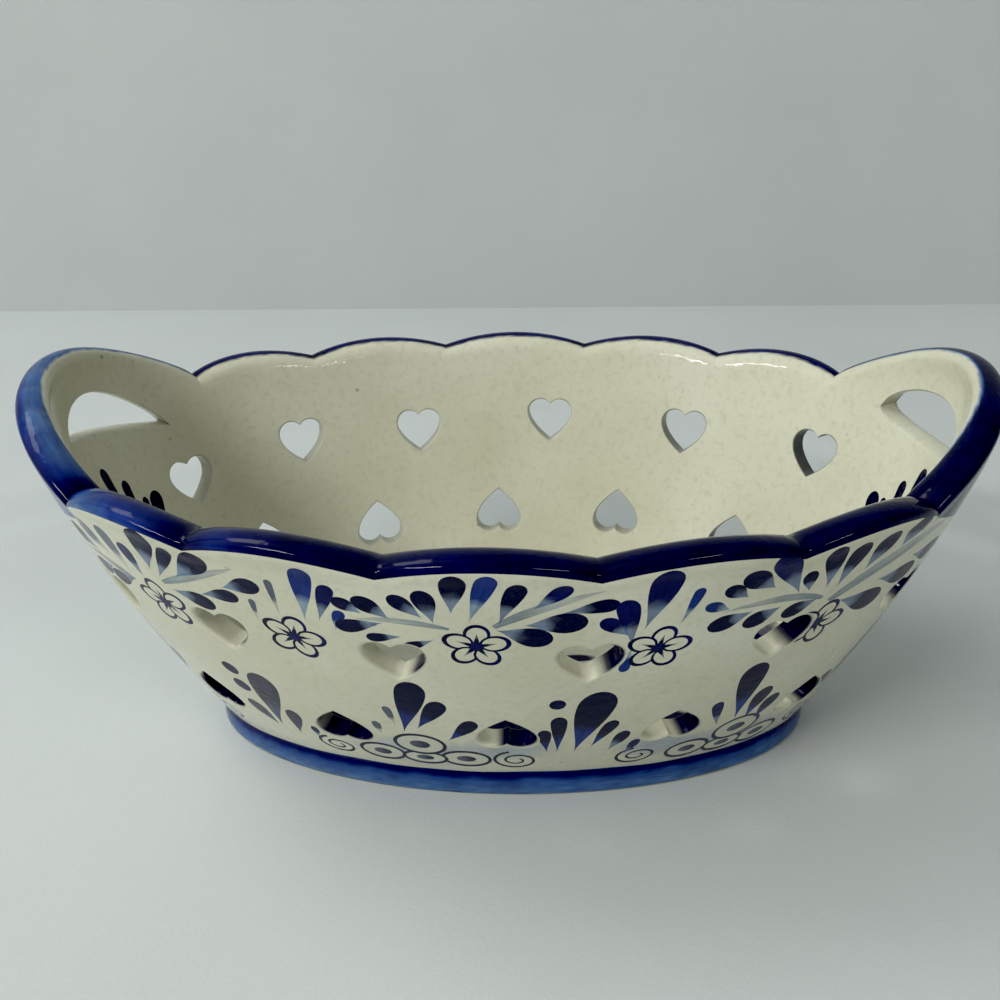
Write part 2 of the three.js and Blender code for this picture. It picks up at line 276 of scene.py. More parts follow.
def is_on_handle(angle):
    return angle_from_end(angle) < HANDLE_REACH - JOINT_CLEAR


def sheet_top(angle):
    """Upper border of the wall's two faces: under the painted lip, or under a slot's rounded sill."""
    on_handle = slot_edge(angle, "sill") - slot_round(angle)
    return np.where(is_on_handle(angle), on_handle, crest_height(angle) - LIP_BAND)


def unit(vectors):
    return vectors / np.maximum(np.linalg.norm(vectors, axis=-1, keepdims=True), 1e-12)


def surface_normal(surface, angle, height):
    along = surface(angle + NUDGE, height) - surface(angle - NUDGE, height)
    up = surface(angle, height + NUDGE) - surface(angle, height - NUDGE)
    return unit(np.cross(along, up))


# Chart of the wall: length along the oval at mid height, from the front middle to the right, and height.
# It is cut at the back tip of the right finger slot.

CHART_HEIGHT = 32.0
CHART_STEPS = 2880
CHART_CUT = RIGHT_SLOT["shift"] + RIGHT_SLOT["half_angle"]
CHART_ANGLES = CHART_CUT + np.linspace(-FULL_TURN, 0, CHART_STEPS + 1)
_oval = wall_point(CHART_ANGLES, CHART_HEIGHT, 0.0)
_lengths = np.concatenate([[0], np.cumsum(np.linalg.norm(np.diff(_oval, axis=0), axis=1))])
PERIMETER = _lengths[-1]
CHART_LENGTHS = _lengths - np.interp(FRONT_MIDDLE, CHART_ANGLES, _lengths)
CHART_START = CHART_LENGTHS[0]


def chart_angle(length):
    turns = np.floor((length - CHART_START) / PERIMETER)
    return np.interp(length - turns * PERIMETER, CHART_LENGTHS, CHART_ANGLES) + turns * FULL_TURN


def chart_length(angle):
    turns = np.floor((angle - CHART_ANGLES[0]) / FULL_TURN)
    return np.interp(angle - turns * FULL_TURN, CHART_ANGLES, CHART_LENGTHS) + turns * PERIMETER


# Colours of the brushwork

def srgb(red, green, blue, cover=1.0):
    """A colour on a 0 to 255 scale, as linear light, with how fully it covers the glaze."""
    def linear(value):
        share = value / 255
        return share / 12.92 if share <= 0.04045 else ((share + 0.055) / 1.055) ** 2.4
    return np.array([linear(red), linear(green), linear(blue), cover])


BARE = np.zeros(4)
NAVY = srgb(3, 4, 46)
INK = srgb(8, 12, 74)
COBALT = srgb(22, 44, 112)
BLUE = srgb(40, 82, 140, 0.95)
PALE = srgb(104, 134, 158, 0.85)
TAIL = srgb(66, 96, 138, 0.8)
MIST = srgb(112, 136, 170, 0.12)
GREY = srgb(104, 122, 134, 0.85)
GREY_END = srgb(140, 152, 156, 0.6)
LINE = srgb(20, 30, 54)
SMOKE = srgb(52, 66, 94, 0.9)
SLATE = srgb(24, 26, 58, 0.95)
SLATE_END = srgb(50, 58, 98, 0.95)


class Stroke:
    """One closed brush mark on the chart, with a colour that runs from its start to its end."""

    def __init__(self, outline, start, end, first, last, ease=(0.15, 0.9)):
        self.outline = np.asarray(outline, float)
        self.start = np.asarray(start, float)
        self.axis = np.asarray(end, float) - self.start
        self.first = first
        self.last = last
        self.ease = ease
        self.seed = 0.0

    def shade(self, points):
        along = (points - self.start) @ self.axis / max(self.axis @ self.axis, 1e-9)
        mix = smooth_step(self.ease[0], self.ease[1], along)[..., None]
        return self.first * (1 - mix) + self.last * mix

    def brush(self, points):
        size = max(np.hypot(*self.axis), 1e-6)
        side = np.array([-self.axis[1], self.axis[0]]) / size
        offset = points - self.start
        return np.stack([offset @ self.axis / size, offset @ side], axis=-1)

    def moved(self, length):
        shift = np.array([length, 0.0])
        start = self.start + shift
        copy = Stroke(self.outline + shift, start, start + self.axis, self.first, self.last, self.ease)
        copy.seed = self.seed
        return copy


LEAF_HEAD_STEPS = 12
LEAF_TAIL_STEPS = 12
LEAF_TAPER = 1.55
LEAF_HEAD_LENGTH = 1.25
LEAF_EASE = (0.50, 0.64)


def leaf(head, tip, width, first, last, bend=0.0):
    """A teardrop: a round head that tapers to a point. The tail bends sideways by a share of its length."""
    head = np.asarray(head, float)
    tip = np.asarray(tip, float)
    length = np.hypot(*(tip - head))
    axis = (tip - head) / length
    side = np.array([-axis[1], axis[0]])
    half = width / 2
    turn = np.linspace(-math.pi / 2, math.pi / 2, LEAF_HEAD_STEPS)
    around = [(-half * LEAF_HEAD_LENGTH * math.cos(t), half * math.sin(t)) for t in turn]
    share = np.linspace(0, 1, LEAF_TAIL_STEPS + 1)[1:]
    half_widths = half * np.maximum(np.cos(share * math.pi / 2), 0) ** LEAF_TAPER
    sideways = bend * length * share ** 2
    up = list(zip(length * share, sideways + half_widths))
    down = list(zip(length * share[:-1], sideways[:-1] - half_widths[:-1]))
    local = np.array(around + up + down[::-1])
    outline = head + local[:, :1] * axis + local[:, 1:] * side
    return Stroke(outline, head - axis * half, tip, first, last, LEAF_EASE)


def ribbon(line, half):
    """Outline of a stroke that runs along a line, with a half width at each of its points."""
    way = unit(np.gradient(line, axis=0))
    side = np.stack([-way[:, 1], way[:, 0]], axis=1)
    return np.concatenate([line + side * half, (line - side * half)[::-1]])


STEM_STEPS = 14


def stem(start, middle, end, width):
    """A soft curved stroke, full in its middle and fine at both ends."""
    share = np.linspace(0, 1, STEM_STEPS + 1)[:, None]
    start, middle, end = (np.asarray(p, float) for p in (start, middle, end))
    line = start * (1 - share) ** 2 + 2 * middle * share * (1 - share) + end * share ** 2
    half = width / 2 * np.sin(math.pi * (0.12 + 0.86 * share)) ** 0.8
    return Stroke(ribbon(line, half), start, end, GREY, GREY_END, (0.0, 1.0))


OVAL_STEPS = 28


def oval(middle, half_length, half_height, first, last=None, turn=0.0):
    t = np.linspace(0, FULL_TURN, OVAL_STEPS, endpoint=False)
    local = np.stack([half_length * np.cos(t), half_height * np.sin(t)], axis=1)
    spin = np.array([[math.cos(turn), math.sin(turn)], [-math.sin(turn), math.cos(turn)]])
    outline = np.asarray(middle, float) + local @ spin
    low = np.asarray(middle, float) - (half_length, 0)
    return Stroke(outline, low, low + (2 * half_length, 0), first, first if last is None else last)


def ring(middle, half_length, half_height, line, first, last=None, lift=0.0, turn=0.0):
    """An oval outline: a painted oval with a bare one inside it, thicker away from the lift."""
    inside = np.asarray(middle, float) + lift * np.array([-math.cos(turn), -math.sin(turn)])
    return [
        oval(middle, half_length, half_height, first, last, turn),
        oval(inside, half_length - line - abs(lift) / 2, half_height - line, BARE, None, turn),
    ]


SCROLL_STEPS = 44
SCROLL_START = 0.3
SCROLL_TURNS = 1.85
SCROLL_CLOSING = 0.82
SCROLL_LINE = 0.7


def scroll(middle, half_length, half_height):
    """A spiral drawn in one line from its rim to its eye."""
    share = np.linspace(0, 1, SCROLL_STEPS + 1)
    t = SCROLL_START * FULL_TURN + share * SCROLL_TURNS * FULL_TURN
    size = 1 - SCROLL_CLOSING * share
    path = np.stack([half_length * size * np.cos(t), half_height * size * np.sin(t)], axis=1)
    half = SCROLL_LINE / 2 * (1 - 0.35 * share)[:, None] * np.array([1.0, 0.85])
    low = np.asarray(middle, float) - (half_length, 0)
    outline = ribbon(np.asarray(middle, float) + path, half)
    return Stroke(outline, low, low + (2 * half_length, 0), LINE, LINE)


PETALS = 5
PETAL_REACH = 2.55
PETAL_LENGTH = 2.1
PETAL_WIDTH = 1.75
PETAL_LINE = 0.44
PETAL_LIFT = 0.16
FLOWER_STRETCH = 1.04
VEIN_START = 0.5
VEIN_END = 2.9
VEIN_WIDTH = 0.75
EYE_SIZE = 0.85


def flower(middle, turn=90.0):
    """Five outlined petals about a dark eye, with a short stroke up each petal."""
    middle = np.asarray(middle, float)
    ways = [(turn + 360 / PETALS * i) * DEGREE for i in range(PETALS)]
    petals = []
    veins = []
    for way in ways:
        out = np.array([math.cos(way), FLOWER_STRETCH * math.sin(way)])
        place = middle + PETAL_REACH * out
        petals += ring(place, PETAL_LENGTH, PETAL_WIDTH, PETAL_LINE, NAVY, INK, PETAL_LIFT, way)
        veins.append(leaf(middle + VEIN_START * out, middle + VEIN_END * out, VEIN_WIDTH, NAVY, SMOKE))
    return petals + veins + [oval(middle, EYE_SIZE, EYE_SIZE, INK)]


# Layout of the outside, in millimetres from each flower's middle. Leaves are (head, tip, width, tone), and
# stems are (start, middle, end, width).

TONES = {
    "dark": (NAVY, TAIL),
    "ink": (INK, TAIL),
    "blue": (COBALT, PALE),
    "pale": (SMOKE, GREY_END),
    "deep": (NAVY, COBALT),
    "slate": (SLATE, SLATE_END),
}

MIDDLE_SPRAY = [
    ((-2.0, 12.6), (-2.9, 6.8), 3.2, "dark"),
    ((1.8, 13.0), (-0.8, 5.0), 2.7, "blue"),
    ((5.2, 11.3), (2.6, 4.9), 2.6, "dark"),
    ((10.5, 11.1), (7.2, 7.6), 2.4, "ink"),
    ((-5.8, 9.5), (-4.8, 4.7), 2.9, "dark"),
    ((-8.8, 8.6), (-6.3, 5.6), 2.7, "dark"),
    ((-13.2, 7.8), (-10.3, 5.1), 2.9, "dark"),
    ((-16.0, 7.5), (-13.8, 5.9), 2.5, "dark"),
    ((-16.4, 2.9), (-11.4, 4.2), 2.8, "dark"),
    ((-13.2, 0.9), (-9.4, 1.5), 1.9, "dark"),
    ((-8.6, -0.4), (-5.2, 1.0), 1.7, "dark"),
    ((11.4, 4.8), (6.0, 4.6), 4.2, "dark"),
    ((7.4, 1.9), (2.6, 3.6), 4.0, "dark"),
    ((16.0, 7.9), (10.5, 6.8), 2.6, "dark"),
]
MIDDLE_STEMS = [
    ((-3.2, 3.6), (-9.0, 5.4), (-15.0, 4.6), 1.2),
    ((2.4, 4.2), (7.5, 8.4), (15.5, 10.8), 1.7),
]
RIGHT_SPRAY = [
    ((-10.8, 15.4), (-6.4, 8.4), 3.6, "ink"),
    ((-3.7, 14.7), (-1.9, 8.0), 3.0, "dark"),
    ((0.1, 14.0), (-0.8, 7.4), 3.1, "dark"),
    ((4.4, 14.2), (3.1, 9.6), 3.6, "dark"),
    ((9.5, 15.0), (8.2, 12.0), 4.2, "dark"),
    ((-6.0, 11.2), (-5.3, 8.3), 2.1, "dark"),
    ((-14.0, 13.1), (-10.7, 10.6), 3.4, "dark"),
    ((-16.4, 11.4), (-14.2, 9.6), 2.5, "dark"),
    ((-18.4, 8.7), (-16.0, 7.6), 2.1, "blue"),
    ((-16.2, 4.8), (-12.4, 6.4), 3.4, "dark"),
    ((-11.3, 4.5), (-8.4, 6.4), 3.3, "dark"),
    ((-5.9, 4.8), (-2.6, 6.2), 3.0, "dark"),
    ((8.8, 1.6), (1.6, 4.2), 4.3, "dark"),
    ((14.8, 4.3), (7.8, 6.2), 4.0, "dark"),
    ((20.0, 6.5), (13.8, 7.8), 3.8, "dark"),
]
RIGHT_STEMS = [
    ((-2.0, 6.0), (-8.0, 9.2), (-17.0, 7.2), 1.4),
    ((-0.4, 4.8), (8.0, 12.2), (19.0, 12.4), 2.8),
]
LEFT_SPRAY = [
    ((-4.2, 11.8), (-4.0, 4.0), 2.8, "pale"),
    ((-1.0, 10.0), (-1.3, 4.5), 2.5, "ink"),
    ((4.0, 13.8), (1.9, 7.4), 3.8, "dark"),
    ((7.2, 12.2), (3.2, 6.0), 2.2, "dark"),
    ((11.5, 11.8), (6.8, 7.4), 3.8, "dark"),
    ((14.2, 6.0), (9.2, 5.2), 2.6, "dark"),
    ((18.2, 9.1), (14.0, 7.4), 3.1, "dark"),
    ((8.8, 3.3), (4.0, 4.4), 3.3, "dark"),
    ((-9.2, 10.6), (-6.2, 6.7), 3.6, "pale"),
    ((-14.0, 8.2), (-10.2, 6.2), 3.3, "dark"),
    ((-9.0, 1.5), (-4.2, 3.2), 3.1, "dark"),
    ((-13.0, 2.0), (-9.2, 3.7), 3.3, "dark"),
]
LEFT_STEMS = [
    ((3.0, 5.2), (9.0, 8.2), (17.4, 12.2), 1.5),
    ((-4.2, 3.0), (-9.0, 5.4), (-15.0, 5.2), 1.5),
]
LEFT_SPRIG = [
    ((4.9, 13.4), (3.2, 4.0), 2.9, "blue"),
    ((7.4, 10.9), (5.0, 4.4), 2.2, "ink"),
    ((0.1, 11.2), (-0.6, 4.0), 1.1, "pale"),
    ((-3.9, 6.4), (-4.6, 2.2), 1.0, "pale"),
    ((8.0, 6.2), (6.5, 2.8), 1.7, "blue"),
]
RIGHT_SPRIG = [
    ((-1.3, 13.8), (-2.3, 4.2), 3.9, "ink"),
    ((3.1, 11.0), (2.3, 4.4), 1.5, "blue"),
    ((-5.3, 9.0), (-3.4, 1.0), 3.0, "ink"),
    ((-7.1, 6.0), (-4.4, 3.2), 2.6, "ink"),
    ((-4.0, -4.0), (-3.8, 0.8), 1.6, "blue"),
]


def both_ways(rows):
    """Each leaf to the left, and again to the right."""
    return [
        ((side * head[0], head[1]), (side * tip[0], tip[1]), width, tone)
        for head, tip, width, tone in rows for side in (-1, 1)
    ]


END_SPRAY = [((0.0, 12.6), (0.0, 6.0), 3.2, "dark")] + both_ways([
    ((4.0, 11.4), (2.2, 5.6), 2.8, "dark"),
    ((8.2, 9.0), (5.2, 4.6), 3.0, "dark"),
    ((10.5, 4.6), (5.6, 3.8), 3.2, "dark"),
    ((8.4, 0.2), (4.2, 1.6), 2.6, "ink"),
])
END_STEMS = [((side * 3.0, 3.4), (side * 8.0, 6.6), (side * 13.5, 7.0), 1.3) for side in (-1, 1)]

# Bouquets stand in a row under the upper hearts: leaves, then dots as (middle, half size).
FIRST_BOUQUET = [
    ((2.0, 13.4), (-2.6, 0.6), 5.4, "slate"),
    ((3.4, 5.4), (0.9, -0.6), 3.0, "slate"),
    ((-4.8, 5.0), (-3.0, 0.4), 3.5, "slate"),
    ((6.0, 2.2), (5.4, -0.4), 1.6, "ink"),
]
FIRST_DOTS = [((-2.9, 16.1), 1.5), ((-3.6, 11.5), 1.6)]
SECOND_BOUQUET = [
    ((1.0, 13.0), (-2.4, 0.9), 4.8, "deep"),
    ((4.3, 9.2), (0.0, 2.5), 3.3, "deep"),
    ((-4.0, 7.7), (-3.5, 2.6), 1.5, "pale"),
    ((-7.3, 2.7), (-7.5, -0.4), 1.6, "pale"),
    ((9.0, 4.3), (5.0, -0.8), 2.9, "deep"),
]
THIRD_BOUQUET = [
    ((1.3, 14.4), (-1.0, 0.4), 6.2, "deep"),
    ((-4.3, 10.0), (-3.6, 0.4), 2.8, "deep"),
    ((-6.5, 6.4), (-6.0, 0.6), 2.4, "deep"),
    ((4.6, 8.3), (2.0, 1.6), 2.6, "deep"),
    ((7.4, 4.6), (5.9, -0.1), 2.7, "dark"),
    ((10.4, 1.8), (9.2, -1.8), 2.0, "ink"),
]
THIRD_DOTS = [((-4.9, 15.3), 1.3)]
FOURTH_BOUQUET = [
    ((-1.4, 13.4), (0.8, 0.2), 4.7, "deep"),
    ((-4.5, 6.0), (-2.0, -0.6), 2.1, "ink"),
    ((3.9, 6.4), (4.0, -0.4), 3.5, "deep"),
    ((7.4, 3.4), (7.2, -1.6), 3.3, "deep"),
]

# Scrolled clouds above the foot: (middle from the cloud's own middle, half length, half height).
CLOUD_LOBES = [
    ((-8.4, 0.5), 4.7, 2.9),
    ((8.2, 0.2), 5.0, 2.9),
    ((0.0, -0.2), 4.6, 2.4),
]
CLOUD_TOP = ((0.2, 4.4), 5.0, 3.5)
CLOUD_LINE = 0.72

FRONT_FLOWERS = {
    "left": (-48.7, 41.8),
    "left_sprig": (-27.1, 41.2),
    "middle": (-2.0, 42.4),
    "right_sprig": (22.0, 40.4),
    "right": (46.2, 39.2),
}
BOUQUET_BASES = {
    "outer_left": (-68.0, 14.0),
    "first": (-42.0, 12.1),
    "second": (-14.0, 17.2),
    "third": (14.2, 12.5),
    "fourth": (41.8, 16.0),
    "outer_right": (68.0, 14.0),
}
CLOUDS = [(-15.1, 10.2), (45.6, 8.9)]
SCROLLS = [
    ((-62.0, 10.2), 4.3, 2.6),
    ((-33.0, 10.4), 4.3, 2.5),
    ((2.9, 10.3), 4.7, 3.1),
    ((26.6, 9.7), 4.6, 2.8),
    ((66.0, 9.8), 4.4, 2.6),
]
END_FLOWER_HEIGHT = 27.0
END_SCROLL_HEIGHT = 10.2
END_SCROLL_SIZE = (4.4, 2.7)

rng = np.random.default_rng(7)


def leaves(rows, origin):
    marks = []
    for head, tip, width, tone in rows:
        first, last = TONES[tone]
        bend = rng.uniform(-0.07, 0.07)
        marks.append(leaf(np.add(head, origin), np.add(tip, origin), width, first, last, bend))
    return marks


def stems(rows, origin):
    return [stem(*(np.add(p, origin) for p in points), width) for *points, width in rows]


def dots(rows, origin):
    return [oval(np.add(place, origin), size, size, NAVY, INK) for place, size in rows]


WASH_LAYERS = 6
LEAST_WASH = 0.35
CLOUD_EYE = (0.38, 0.36)
CLOUD_WASH_LIFT = 1.5
# Patches of wash apart from the clouds: (middle, half length, half height).
WASHES = [((2.0, 14.5), 9, 4.0), ((30.0, 13.0), 9, 4.5)]
CLOUD_WASH_SIZE = (16, 5.0)


def soft_wash(middle, half_length, half_height):
    """A cloudy patch of thin cobalt, laid in ever smaller ovals so that its edge is soft."""
    shares = np.linspace(1, LEAST_WASH, WASH_LAYERS)
    return [oval(middle, half_length * share, half_height * share, MIST) for share in shares]


def cloud(middle):
    """Four outlined lobes, each with a thin wash and a dark eye."""
    marks = []
    for offset, half_length, half_height in CLOUD_LOBES + [CLOUD_TOP]:
        place = np.add(middle, offset)
        marks += ring(place, half_length, half_height, CLOUD_LINE, LINE)
        marks.append(oval(place, half_length - CLOUD_LINE, half_height - CLOUD_LINE, MIST))
        marks.append(oval(place, CLOUD_EYE[0] * half_length, CLOUD_EYE[1] * half_height, SMOKE, LINE))
    return marks


def half_outside():
    """Everything painted on the front half of the outside, from the middle of one end to the other."""
    at = FRONT_FLOWERS
    marks = []
    for middle in CLOUDS:
        marks += soft_wash(np.add(middle, (0, CLOUD_WASH_LIFT)), *CLOUD_WASH_SIZE)
    for middle, half_length, half_height in WASHES:
        marks += soft_wash(middle, half_length, half_height)
    for middle, half_length, half_height in SCROLLS:
        marks.append(scroll(middle, half_length, half_height))
    for middle in CLOUDS:
        marks += cloud(middle)
    marks += stems(LEFT_STEMS, at["left"]) + leaves(LEFT_SPRAY, at["left"])
    marks += leaves(LEFT_SPRIG, at["left_sprig"])
    marks += stems(MIDDLE_STEMS, at["middle"]) + leaves(MIDDLE_SPRAY, at["middle"])
    marks += leaves(RIGHT_SPRIG, at["right_sprig"])
    marks += stems(RIGHT_STEMS, at["right"]) + leaves(RIGHT_SPRAY, at["right"])
    for middle in at.values():
        marks += flower(middle, rng.uniform(70, 110))
    base = BOUQUET_BASES
    marks += leaves(SECOND_BOUQUET, base["outer_left"]) + leaves(FIRST_BOUQUET, base["first"])
    marks += leaves(SECOND_BOUQUET, base["second"]) + leaves(THIRD_BOUQUET, base["third"])
    marks += leaves(FOURTH_BOUQUET, base["fourth"]) + leaves(FIRST_BOUQUET, base["outer_right"])
    marks += dots(FIRST_DOTS, base["first"]) + dots(THIRD_DOTS, base["third"])
    return marks


def band(lengths, low, high):
    """Outline of a mark between two lines along the chart."""
    return np.concatenate([np.stack([lengths, low], 1), np.stack([lengths, high], 1)[::-1]])


SLOT_WASH_LOW = 46.0
SLOT_WASH_HIGH = 58.0
SLOT_WASH_FADE = 8
SLOT_WASH_GAP = 0.8
SLOT_WASH_STEPS = 40
FOOT_LINE_STEPS = 240
FOOT_LINE_HEIGHT = 0.75
FOOT_LINE_OVERLAP = 2


def slot_wash(middle_angle, first, last):
    """The handle's blue, carried down on to the wall under a finger slot in a shallow bow."""
    angles = middle_angle + np.linspace(-1, 1, SLOT_WASH_STEPS + 1) * HANDLE_REACH
    lengths = chart_length(angles)
    share = np.abs(angles - middle_angle) / HANDLE_REACH
    wobble = 0.35 * np.sin(9.0 * angles + 1.3)
    low = SLOT_WASH_LOW + (RIM_HEIGHT - LIP_BAND - SLOT_WASH_GAP - SLOT_WASH_LOW) * share ** 1.6 + wobble
    outline = band(lengths, low, np.full_like(low, SLOT_WASH_HIGH))
    start = (lengths.mean(), SLOT_WASH_LOW)
    return Stroke(outline, start, (lengths.mean(), SLOT_WASH_LOW + SLOT_WASH_FADE), first, last)


def foot_line():
    """The dark line where the wall springs from the foot."""
    start = CHART_START - FOOT_LINE_OVERLAP
    lengths = np.linspace(start, CHART_START + PERIMETER + FOOT_LINE_OVERLAP, FOOT_LINE_STEPS)
    top = FOOT_HEIGHT + FOOT_LINE_HEIGHT + 0.16 * np.sin(lengths / 7.3) + 0.1 * np.sin(lengths / 2.9)
    outline = band(lengths, np.full_like(lengths, FOOT_HEIGHT - 1), top)
    return Stroke(outline, (0, FOOT_HEIGHT), (0, FOOT_HEIGHT + 1), INK, COBALT)


# The hearts at the back sit this much further round than those in front, and the painting goes with them.
BACK_SHIFT = 5.0
SEED_STEP = 7.3


def outside_strokes():
    """Every mark on the outside: the foot's line, both long sides, both ends and the handles' washes."""
    front = half_outside()
    sides = front + [mark.moved(PERIMETER / 2 + BACK_SHIFT) for mark in front]
    ends = []
    quarter = chart_length(0.0)
    for place in (quarter, quarter - PERIMETER / 2):
        middle = (place, END_FLOWER_HEIGHT)
        ends += stems(END_STEMS, middle) + leaves(END_SPRAY, middle) + flower(middle)
        ends.append(scroll((place, END_SCROLL_HEIGHT), *END_SCROLL_SIZE))
    ends.append(slot_wash(0.0, INK, NAVY))
    ends.append(slot_wash(-math.pi, COBALT, BLUE))
    return around([foot_line()], False) + around(sides + ends, True)


def around(marks, repeat):
    """Adds the far copy of each mark that crosses the chart's cut, so that both sides of it agree."""
    result = []
    low, high = CHART_START, CHART_START + PERIMETER
    for number, mark in enumerate(marks):
        mark.seed = SEED_STEP * number
        least, most = mark.outline[:, 0].min(), mark.outline[:, 0].max()
        turns = math.floor((0.5 * (least + most) - low) / PERIMETER) if repeat else 0
        home = mark.moved(-turns * PERIMETER) if turns else mark
        least, most = home.outline[:, 0].min(), home.outline[:, 0].max()
        result.append(home)
        if repeat and least < low:
            result.append(home.moved(PERIMETER))
        if repeat and most > high:
            result.append(home.moved(-PERIMETER))
    return result


# Layout of the inside: a fan of dark leaves up each end wall, the same to both sides of its middle one.
# Rows are (angle from the end, head height, foot height, width).
END_FAN = [(0.0, 47.4, 33.0, 2.6), (5.6, 43.6, 31.0, 2.3), (9.6, 39.6, 29.5, 1.7), (13.2, 38.8, 27.5, 3.2)]
FAN_CLOSING = 0.55


def inside_strokes():
    marks = []
    for middle in (0.0, -math.pi):
        for turn, high, low, width in END_FAN:
            for way in (-turn, turn) if turn else (turn,):
                head = (chart_length(middle + way * DEGREE), high)
                tip = (chart_length(middle + FAN_CLOSING * way * DEGREE), low)
                marks.append(leaf(head, tip, width, NAVY, INK))
    return marks


# Painted sheets: triangles over a chart, cut along the edge of every brush mark

class Sheet:
    """Painted triangles over the chart: vertices, triangles, and paint and brush at their corners."""

    def __init__(self, places, triangles, paint, brush):
        self.places = places
        self.triangles = triangles
        self.paint = paint
        self.brush = brush

    def border_loops(self):
        """Loops of vertices along the sheet's free edges, longest first."""
        edges = np.concatenate([self.triangles[:, pair] for pair in ([0, 1], [1, 2], [2, 0])])
        have = set(map(tuple, edges))
        follow = {a: b for a, b in have if (b, a) not in have}
        loops = []
        while follow:
            start = next(iter(follow))
            loop = [start]
            here = follow.pop(start)
            while here != start:
                loop.append(here)
                here = follow.pop(here)
            loops.append(loop)
        return sorted(loops, key=len, reverse=True)


def counter_clockwise(outline):
    x, y = outline[:, 0], outline[:, 1]
    area = np.sum(x * np.roll(y, -1) - np.roll(x, -1) * y)
    return outline if area > 0 else outline[::-1]


def filler(border_top, spacing):
    """Even rows of points over the chart, clear of its borders."""
    points = []
    rows = np.arange(FOOT_HEIGHT + spacing, RIM_HEIGHT + HANDLE_RISE, 0.87 * spacing)
    for i, height in enumerate(rows):
        shift = 0.5 * spacing * (i % 2)
        lengths = np.arange(CHART_START + spacing + shift, CHART_START + PERIMETER - 0.6 * spacing, spacing)
        clear = border_top(lengths) > height + 0.5 * spacing
        points.append(np.stack([lengths[clear], np.full(clear.sum(), height)], axis=1))
    return np.concatenate(points)


def painted_sheet(border, border_top, holes, strokes):
    """Cuts a face of the wall along its border, hearts and marks, and lays the marks over each other."""
    loops = [counter_clockwise(loop) for loop in [border] + holes + [mark.outline for mark in strokes]]
    points = []
    faces = []
    for loop in loops:
        faces.append(list(range(len(points), len(points) + len(loop))))
        points.extend(map(tuple, loop))
    points.extend(map(tuple, filler(border_top, SHEET_SPACING)))
    found = delaunay_2d_cdt([Vector(p) for p in points], [], faces, 1, CDT_EPSILON)
    places = np.array([tuple(v) for v in found[0]])
    owners = found[5]
    keep = [i for i, ids in enumerate(owners) if 0 in ids and not any(0 < k <= len(holes) for k in ids)]
    triangles = np.array([found[2][i] for i in keep])
    covered = {}
    for row, i in enumerate(keep):
        for k in owners[i]:
            if k > len(holes):
                covered.setdefault(k - len(holes) - 1, []).append(row)
    paint = np.zeros((len(triangles), 3, 4))
    brush = np.zeros((len(triangles), 3, 3))
    for index in sorted(covered):
        rows = np.array(covered[index])
        mark = strokes[index]
        corners = places[triangles[rows]]
        new = mark.shade(corners)
        if mark.first is BARE:
            paint[rows] = 0
            continue
        old = paint[rows]
        cover = new[..., 3:] + old[..., 3:] * (1 - new[..., 3:])
        mixed = new[..., :3] * new[..., 3:] + old[..., :3] * old[..., 3:] * (1 - new[..., 3:])
        paint[rows] = np.concatenate([mixed / np.maximum(cover, 1e-6), cover], axis=-1)
        seed = np.full(corners.shape[:2] + (1,), mark.seed)
        brush[rows] = np.concatenate([mark.brush(corners), seed], axis=-1)
    used, triangles = np.unique(triangles, return_inverse=True)
    return Sheet(places[used], triangles.reshape(-1, 3), paint, brush)


# Meshes

class Patch:
    """Part of a piece's skin: points, a normal for each, faces, and the paint at each face's corners."""

    def __init__(self, points, normals, faces, paint=None, brush=None):
        self.points = points
        self.normals = normals
        self.faces = np.asarray(faces)
        corners = self.faces.shape
        self.paint = np.zeros(corners + (4,)) if paint is None else paint
        self.brush = np.zeros(corners + (3,)) if brush is None else brush

    def turn_faces(self):
        self.faces = self.faces[:, ::-1]
        self.paint = self.paint[:, ::-1]


def grid_patch(points, ring_closed=False, paint=None, brush=None, flip=False):
    """A patch over columns and rows of points. Paint and brush, where given, are for each point."""
    columns, rows = points.shape[:2]
    if ring_closed:
        along = np.roll(points, -1, axis=0) - np.roll(points, 1, axis=0)
    else:
        along = np.gradient(points, axis=0)
    normals = unit(np.cross(along, np.gradient(points, axis=1)))
    index = np.arange(columns * rows).reshape(columns, rows)
    here = index if ring_closed else index[:-1]
    there = np.roll(index, -1, axis=0) if ring_closed else index[1:]
    faces = np.stack([here[:, :-1], there[:, :-1], there[:, 1:], here[:, 1:]], axis=-1).reshape(-1, 4)
    if flip:
        faces = faces[:, ::-1]
        normals = -normals
    flat_paint = None if paint is None else paint.reshape(-1, 4)[faces]
    flat_brush = None if brush is None else brush.reshape(-1, 3)[faces]
    return Patch(points.reshape(-1, 3), normals.reshape(-1, 3), faces, flat_paint, flat_brush)


def add_object(name, data):
    item = bpy.data.objects.new(name, data)
    bpy.context.scene.collection.objects.link(item)
    return item


